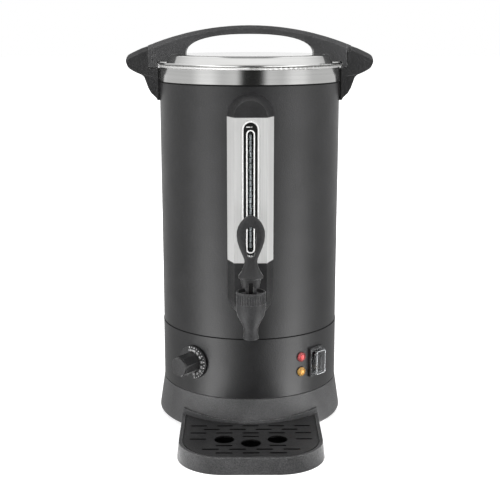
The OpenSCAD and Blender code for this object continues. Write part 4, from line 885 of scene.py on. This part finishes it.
# %% [markdown]
# Marks, seams and strips are all flat bars, so one helper makes them, with a fine edge all round.

# %% A flat bar
def bar(width, length, thick, spot=(0, 0, 0), turn=0.0, edge=0.05):
    """A flat bar with rounded edges, in millimetres, turned clockwise by degrees."""
    bpy.ops.object.select_all(action="DESELECT")
    bpy.ops.mesh.primitive_cube_add(size=MM)
    thing = bpy.context.object
    turned = Matrix.Rotation(-math.radians(turn), 4, "Z") @ Matrix.Diagonal((width, length, thick, 1))
    thing.matrix_world = Matrix.Translation(Vector(spot) * MM) @ turned
    bpy.ops.object.transform_apply(location=True, rotation=True, scale=True)
    edit_all()
    bpy.ops.mesh.bevel(offset=edge * MM, segments=1, affect="EDGES")
    bpy.ops.object.mode_set(mode="OBJECT")
    return thing


print("dial face at", [round(v, 4) for v in side_place(DIAL_ANGLE, DIAL_FACE, DIAL_HEIGHT)[1]])

# %% [markdown]
# ## Marks on the dial
#
# The skirt of the dial carries printed marks: a long one for each number and a short one between. Printing
# stands a hair above the plastic, so thin bars with rounded edges do, set out on a circle.

# %% Dial marks
# degrees from mark to mark, where the first one stands, and how many there are
STEP, START, MARKS = 11.4, -12.0, 17
# where a mark starts and ends, from the middle of the dial, and its width
LONG_MARK, SHORT_MARK = (18.1, 20.2, 0.85), (19.0, 20.2, 0.55)
MARK_THICK, MARK_RISE = 0.14, 0.03

marks = []
for index in range(MARKS):
    angle = START + STEP * index
    low, high, width = SHORT_MARK if index % 2 else LONG_MARK
    middle = (low + high) / 2
    spot = (middle * math.sin(math.radians(angle)), middle * math.cos(math.radians(angle)), MARK_RISE)
    marks.append(bar(width, high - low, MARK_THICK, spot, angle))
dial_marks = joined(marks, "dial_marks")
put(dial_marks, DIAL_ANGLE, DIAL_FACE, DIAL_HEIGHT)
finished(dial_marks, "dial", "scale_print", PRINT)
print("marks:", MARKS, "faces:", len(dial_marks.data.polygons))

# %% [markdown]
# The numbers are text, because drawing each figure by hand would take far longer. Text has no points that a
# turn could be applied to, so each number is made a mesh before it is placed. Its head points to the rim.

# %% Dial numbers
NUMBER_SIZE, NUMBER_SPACING, NUMBER_CIRCLE = 3.9, 0.88, 15.3
NUMBER_HALF_THICK, NUMBER_RISE = 0.05, 0.02

numbers = []
for index, value in enumerate(range(110, 20, -10)):
    angle = math.radians(START + 2 * STEP * index)
    bpy.ops.object.select_all(action="DESELECT")
    bpy.ops.object.text_add()
    text = bpy.context.object
    text.data.body = str(value)
    text.data.size = NUMBER_SIZE * MM
    text.data.space_character = NUMBER_SPACING
    text.data.extrude = NUMBER_HALF_THICK * MM
    text.data.align_x, text.data.align_y = "CENTER", "CENTER"
    only(text)
    bpy.ops.object.convert(target="MESH")
    text = bpy.context.object
    circle = NUMBER_CIRCLE * MM
    spot = (circle * math.sin(angle), circle * math.cos(angle), NUMBER_RISE * MM)
    text.matrix_world = Matrix.Translation(spot) @ Matrix.Rotation(-angle, 4, "Z")
    bpy.ops.object.transform_apply(location=True, rotation=True, scale=True)
    edit_all()
    bpy.ops.mesh.remove_doubles(threshold=HAIR)
    bpy.ops.object.mode_set(mode="OBJECT")
    numbers.append(text)
dial_numbers = joined(numbers, "dial_numbers")
put(dial_numbers, DIAL_ANGLE, DIAL_FACE, DIAL_HEIGHT)
finished(dial_numbers, "dial", "scale_print", PRINT)
print("numbers:", len(numbers), "faces:", len(dial_numbers.data.polygons))

# %% [markdown]
# ## Signal lamps
#
# Each signal lamp has a coloured lens cut in facets, so it shows its colour from every side. A twelve-sided
# cylinder is the start. Its top is inset and raised, sunk and raised again, and closed in a point, which
# gives rings of flat facets.

# %% Faceted lens
LENS_SIDES, LENS_RADIUS, LENS_DEPTH, LENS_MIDDLE_HEIGHT = 12, 5.9, 1.6, 1.2
# each ring of facets: how far in, and how far up
FACETS, POINT_DROP, FACET_EDGE = ((1.7, 1.5), (0.9, -0.7), (1.3, 0.9)), -0.4, 0.12


def select_facing(thing, direction, cosine=0.95):
    """In edit mode, selects the faces that look in a direction."""
    bpy.ops.mesh.select_all(action="DESELECT")
    bpy.ops.object.mode_set(mode="OBJECT")
    for face in thing.data.polygons:
        face.select = face.normal.dot(Vector(direction)) > cosine
    bpy.ops.object.mode_set(mode="EDIT")


def faceted_lens(name, height):
    bpy.ops.object.select_all(action="DESELECT")
    bpy.ops.mesh.primitive_cylinder_add(vertices=LENS_SIDES, radius=LENS_RADIUS * MM, depth=LENS_DEPTH * MM,
                                        location=(0, 0, LENS_MIDDLE_HEIGHT * MM))
    lens = named(bpy.context.object, name + "_lens")
    bpy.ops.object.transform_apply(location=True)
    bpy.ops.object.mode_set(mode="EDIT")
    bpy.ops.mesh.select_mode(type="FACE")
    select_facing(lens, (0, 0, 1))
    for inward, upward in FACETS:
        bpy.ops.mesh.inset(thickness=inward * MM, depth=upward * MM)
    bpy.ops.mesh.poke(offset=POINT_DROP * MM)
    bpy.ops.mesh.select_all(action="SELECT")
    bpy.ops.mesh.bevel(offset=FACET_EDGE * MM, segments=1, affect="EDGES")
    bpy.ops.object.mode_set(mode="OBJECT")
    put(lens, LAMP_ANGLE, BAND, height)
    finished(lens, "root", slot_of[name])
    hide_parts(name)


print("lens with rings of facets:", len(FACETS))

# %% [markdown]
# The rest of the lamp is a dark holder that sits in the band. It is a copy of the lamp's solid, cut off
# just in front of the band, where the lens takes over.

# %% Lamp back
BACK_CUT = 0.5  # how far the holder stands out of the band


def lamp_back(name, height):
    back = merged_copy(name, name + "_back", (LAMP_ANGLE,))
    turn, spot = side_place(LAMP_ANGLE, BAND + BACK_CUT, height)
    edit_all()
    bpy.ops.mesh.bisect(plane_co=spot, plane_no=turn.col[2][:3], use_fill=True, clear_outer=True,
                        threshold=HAIR)
    bpy.ops.object.mode_set(mode="OBJECT")
    finished(back, "root", "dark_insert")
    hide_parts(name)


print("lamp back cut at", BAND + BACK_CUT)

# %% [markdown]
# A small pale bulb stands inside the lens and shows in its facets as a bright spot. It is a sphere pressed
# flat and long. Round the lens sits a thin dark ring, a little flattened, which is painted shade: the
# shadow in the gap between the lens and the band.

# %% Bulb and ring of painted shade
BULB_RADIUS, BULB_SPOT, BULB_SHAPE = 2.1, (0.9, -0.7, 1.5), (1, 1.5, 0.45)
SHADE_RING_RADIUS, SHADE_RING_THICK, SHADE_RING_RISE, SHADE_RING_SHAPE = 6.1, 0.45, 0.35, (1, 1, 0.8)


def lamp_bulb(name, height):
    bpy.ops.object.select_all(action="DESELECT")
    bpy.ops.mesh.primitive_uv_sphere_add(segments=16, ring_count=8, radius=BULB_RADIUS * MM)
    bulb = named(bpy.context.object, name + "_bulb")
    bulb.matrix_world = (Matrix.Translation([v * MM for v in BULB_SPOT])
                         @ Matrix.Diagonal((*BULB_SHAPE, 1)))
    put(bulb, LAMP_ANGLE, BAND, height)
    smooth_shade(bulb, 60)
    finished(bulb, "root", "fitting")


# a thin dark ring round the lens, painted shade of the gap between the lens and the band
def lamp_seat(name, height):
    bpy.ops.object.select_all(action="DESELECT")
    bpy.ops.mesh.primitive_torus_add(major_radius=SHADE_RING_RADIUS * MM, minor_radius=SHADE_RING_THICK * MM,
                                     major_segments=48, minor_segments=10)
    shade_ring = named(bpy.context.object, name + "_shade_ring")
    shade_ring.matrix_world = Matrix.Translation((0, 0, SHADE_RING_RISE * MM)) @ Matrix.Diagonal((*SHADE_RING_SHAPE, 1))
    put(shade_ring, LAMP_ANGLE, BAND, height)
    smooth_shade(shade_ring, 80)
    finished(shade_ring, "root", "dark_insert")


LAMP_HEIGHTS = {"red_lamp": 97.0, "amber_lamp": 78.0}
for name, height in LAMP_HEIGHTS.items():
    for make_part in (faceted_lens, lamp_back, lamp_bulb, lamp_seat):
        make_part(name, height)
print("lamps:", list(LAMP_HEIGHTS))

# %% [markdown]
# ## Beads round the gauge window
#
# The steel cover has a rolled bead round its window, and the clear lens sits in a second, finer one. A bead
# is a rod bent to a long ring. The halves of a circle are moved apart, the outline becomes a curve with a
# round section, and the curve becomes a mesh.

# %% A ring bent from a rod
RING_POINTS = 48


def long_ring(name, width, height, thick, spot, corner=None):
    """A rod of the given thickness, bent to an upright ring of width by height. Its ends are half circles,
    or its corners have a radius of their own. spot is the compass angle, the radius and the height."""
    corner = corner or width / 2
    bpy.ops.object.select_all(action="DESELECT")
    # turned by half a step, so that no point lies on the lines along which the circle is moved apart
    bpy.ops.mesh.primitive_circle_add(vertices=RING_POINTS, radius=corner * MM,
                                      rotation=(0, 0, math.radians(180 / RING_POINTS)))
    ring = bpy.context.object
    bpy.ops.object.transform_apply(rotation=True)
    bpy.ops.object.mode_set(mode="EDIT")
    bpy.ops.mesh.select_mode(type="VERT")
    for axis, size in ((0, width), (1, height)):
        for side in (1, -1):
            bpy.ops.mesh.select_all(action="DESELECT")
            bpy.ops.object.mode_set(mode="OBJECT")
            for vertex in ring.data.vertices:
                vertex.select = vertex.co[axis] * side > 0
            bpy.ops.object.mode_set(mode="EDIT")
            way = [0, 0, 0]
            way[axis] = side * (size / 2 - corner) * MM
            bpy.ops.transform.translate(value=way)
    bpy.ops.object.mode_set(mode="OBJECT")
    only(ring)
    bpy.ops.object.convert(target="CURVE")
    ring = bpy.context.object
    ring.data.bevel_depth = thick / 2 * MM
    ring.data.bevel_resolution = 3
    bpy.ops.object.convert(target="MESH")
    ring = named(bpy.context.object, name)
    edit_all()
    bpy.ops.mesh.remove_doubles(threshold=HAIR)
    bpy.ops.mesh.normals_make_consistent(inside=False)
    bpy.ops.object.mode_set(mode="OBJECT")
    put(ring, *spot)
    smooth_shade(ring, 80)
    return ring


print("ring helper ready")

# %% [markdown]
# The beads take their height and place from the cover and the lens that they frame.

# %% Beads
def heights_of(name):
    return [corner[2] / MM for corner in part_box(name)]


def front_of(name):
    return -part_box(name)[0][1] / MM


cover_low, cover_high = heights_of("gauge_cover")
lens_low, lens_high = heights_of("gauge_lens")
panel_front = front_of("gauge_panel")
# the steel is broader below the window than above it
STEEL_BELOW, STEEL_ABOVE = 6, 3.4
WINDOW_BEAD, WINDOW_WIDTH, WINDOW_MARGIN, WINDOW_SINK = 2.0, 18.2, 11.2, 0.9
LENS_BEAD, LENS_WIDTH, LENS_MARGIN, LENS_RISE = 1.5, 8.6, 4, 0.2
window_middle = (cover_low + STEEL_BELOW + cover_high - STEEL_ABOVE) / 2
# both beads are pale steel, partly a painted highlight of their polish
window_bead = long_ring("window_bead", WINDOW_WIDTH, cover_high - cover_low - WINDOW_MARGIN, WINDOW_BEAD,
                        (0, front_of("gauge_cover") - WINDOW_SINK, window_middle))
finished(window_bead, "root", "bright_steel", BEAD_STEEL_AND_HIGHLIGHT)
lens_bead = long_ring("lens_bead", LENS_WIDTH, lens_high - lens_low - LENS_MARGIN, LENS_BEAD,
                      (0, panel_front + LENS_RISE, (lens_low + lens_high) / 2))
finished(lens_bead, "root", "bright_steel", BEAD_STEEL_AND_HIGHLIGHT)
print("cover from", round(cover_low, 1), "to", round(cover_high, 1), "panel front", round(panel_front, 2))

# %% [markdown]
# ## Level marks
#
# Two plain marks on the window panel, one above the glass and one below, show the highest and the lowest
# safe level. Each is a printed bar with a small pointer towards the glass.

# %% Level marks
LEVEL_BAR, BAR_MIDDLE = (4.6, 1.0, 0.16), -2.6
POINTER_RADIUS, POINTER_MIDDLE, POINTER_EDGE = 0.9, 1.4, 0.04
ABOVE_GLASS, BELOW_GLASS = 2.0, 1.6

level_parts = []
for height, turn in ((lens_high + ABOVE_GLASS, math.pi), (lens_low - BELOW_GLASS, 0)):
    level_parts.append(bar(*LEVEL_BAR, (BAR_MIDDLE, height, 0)))
    bpy.ops.object.select_all(action="DESELECT")
    bpy.ops.mesh.primitive_cylinder_add(vertices=3, radius=POINTER_RADIUS * MM, depth=LEVEL_BAR[2] * MM,
                                        location=(POINTER_MIDDLE * MM, height * MM, 0),
                                        rotation=(0, 0, turn))
    pointer = bpy.context.object
    bpy.ops.object.transform_apply(location=True, rotation=True)
    bpy.ops.object.mode_set(mode="EDIT")
    bpy.ops.mesh.bevel(offset=POINTER_EDGE * MM, segments=1, affect="EDGES")
    bpy.ops.object.mode_set(mode="OBJECT")
    level_parts.append(pointer)
level_marks = joined(level_parts, "level_marks")
put(level_marks, 0, panel_front + MARK_RISE, 0)
finished(level_marks, "root", "scale_print", PRINT)
print("level marks at", round(lens_low - BELOW_GLASS, 1), "and", round(lens_high + ABOVE_GLASS, 1))

# %% [markdown]
# ## Marks under the switch boot
#
# The rocker carries the plain signs for on and off, a line and a ring, printed on its two halves, which
# lean different ways. The soft boot over it is thickest along the edge of its face, where it looks milky. A
# thin milky rod bent round that edge gives this bright outline, partly the milky vinyl and partly a painted
# highlight.

# %% Switch marks and boot edge
BOOT_FACE, BOOT_MIDDLE, BOOT_WIDTH, BOOT_LENGTH = 123.4, 87.5, 15.6, 29.2
BOOT_CORNER, BOOT_ROD, BOOT_SINK = 1.6, 0.8, 0.25
# the line for on: width, length and thickness. The ring for off: width, height and thickness.
ON_LINE, OFF_RING = (0.9, 4.2, 0.12), (3.6, 3.6, 0.5)
# lean in degrees, then the radius and height of a sign's middle
ON_PLACE, OFF_PLACE = (23.6, 117.25, 93.0), (-7.1, 115.6, 80.6)

on_mark = bar(*ON_LINE)
off_mark = long_ring("off_mark", *OFF_RING, (0, 0, 0))
# long_ring stands a ring up, so this one is laid flat again like the bar
off_mark.data.transform(side_place(0, 0, 0)[0].inverted())
for mark, (lean, radius, height) in ((on_mark, ON_PLACE), (off_mark, OFF_PLACE)):
    mark.data.transform(Matrix.Rotation(math.radians(lean), 4, "X"))
    put(mark, SWITCH_ANGLE, radius, height)
switch_marks = joined([on_mark, off_mark], "switch_marks")
finished(switch_marks, "rocker", "scale_print", PRINT)
# a pale, milky rod along the boot's edge: partly milky vinyl, partly a painted highlight
MILKY_EDGE_HIGHLIGHT = clear("milky_edge_highlight", (0.93, 0.94, 0.95), (0.05, 0.12), ior=1.35, clarity=0.74)
boot_edge = long_ring("boot_edge", BOOT_WIDTH, BOOT_LENGTH, BOOT_ROD,
                      (SWITCH_ANGLE, BOOT_FACE - BOOT_SINK, BOOT_MIDDLE), BOOT_CORNER)
finished(boot_edge, "root", "clear_boot", MILKY_EDGE_HIGHLIGHT)
print("switch marks and boot edge ready")

# %% [markdown]
# ## Seam at the back
#
# The shell is one sheet bent to a round, so a flat weld runs up its back. A long low bar with its edges
# bevelled away is enough, because the coating hides everything but a soft line.

# %% Back seam
SEAM_BOTTOM, SEAM_TOP = 127.5, 426.0
SEAM_WIDTH, SEAM_THICK, SEAM_EDGE, SEAM_RADIUS = 3.0, 0.9, 0.35, 111.85
seam_middle = (SEAM_TOP + SEAM_BOTTOM) / 2
seam = bar(SEAM_WIDTH, SEAM_TOP - SEAM_BOTTOM, SEAM_THICK, (0, seam_middle, 0), edge=SEAM_EDGE)
finished(put(named(seam, "back_seam"), 180, SEAM_RADIUS, 0), "root", "coated_steel")
print("seam from", SEAM_BOTTOM, "to", SEAM_TOP)

# %% [markdown]
# ## Joints of the skins
#
# Where two skins meet, a near-black piece is put into the joint as painted shade, the shadow that falls
# into
# the gap, and it reads as a dark line: one ring under the rim band, one over the base band, and an upright
# strip on each side of both ears.

# %% Painted shade in the joints
# a near-black skin for the painted shade in the joints
GAP_SHADE = skin("painted_gap_shade", grey(0.003), grey(0.02), (0.6, 0.7), depth=0.05, wear_and_light=0.2, level=0.15)
# radius, height and half the thickness of each ring
RING_GAP_SHADES = {"rim_gasket": (111.8, 428.95, 0.9), "base_gasket": (111.85, 124.95, 0.85)}
for name, (radius, height, half) in RING_GAP_SHADES.items():
    bpy.ops.object.select_all(action="DESELECT")
    bpy.ops.mesh.primitive_torus_add(major_radius=radius * MM, minor_radius=half * MM, major_segments=160,
                                     minor_segments=10, location=(0, 0, height * MM))
    gap_ring = named(bpy.context.object, name)
    bpy.ops.object.transform_apply(location=True)
    smooth_shade(gap_ring, 80)
    finished(gap_ring, "root", "dark_insert", GAP_SHADE)

STRIP_SIDE, STRIP_TOP, STRIP_WIDTH, STRIP_THICK = 112.4, 444.8, 1.6, 0.5
STRIP_EDGE, STRIP_RISE = 0.1, 0.1
ear_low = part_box("ear_left")[0]
ear_side, strip_bottom = -ear_low[1] / MM, ear_low[2] / MM
strip_middle = (STRIP_TOP + strip_bottom) / 2
# upright strips of painted shade in the joints beside both ears, at the front and the back
strips = []
for angle in (0, 180):
    for x in (-STRIP_SIDE, STRIP_SIDE):
        strip = bar(STRIP_WIDTH, STRIP_TOP - strip_bottom, STRIP_THICK, (x, strip_middle, 0),
                    edge=STRIP_EDGE)
        strips.append(put(strip, angle, ear_side + STRIP_RISE, 0))
finished(joined(strips, "ear_gap_shades"), "root", "dark_insert", GAP_SHADE)
print("gaskets:", sorted(RING_GAP_SHADES), "and", len(strips), "strips")
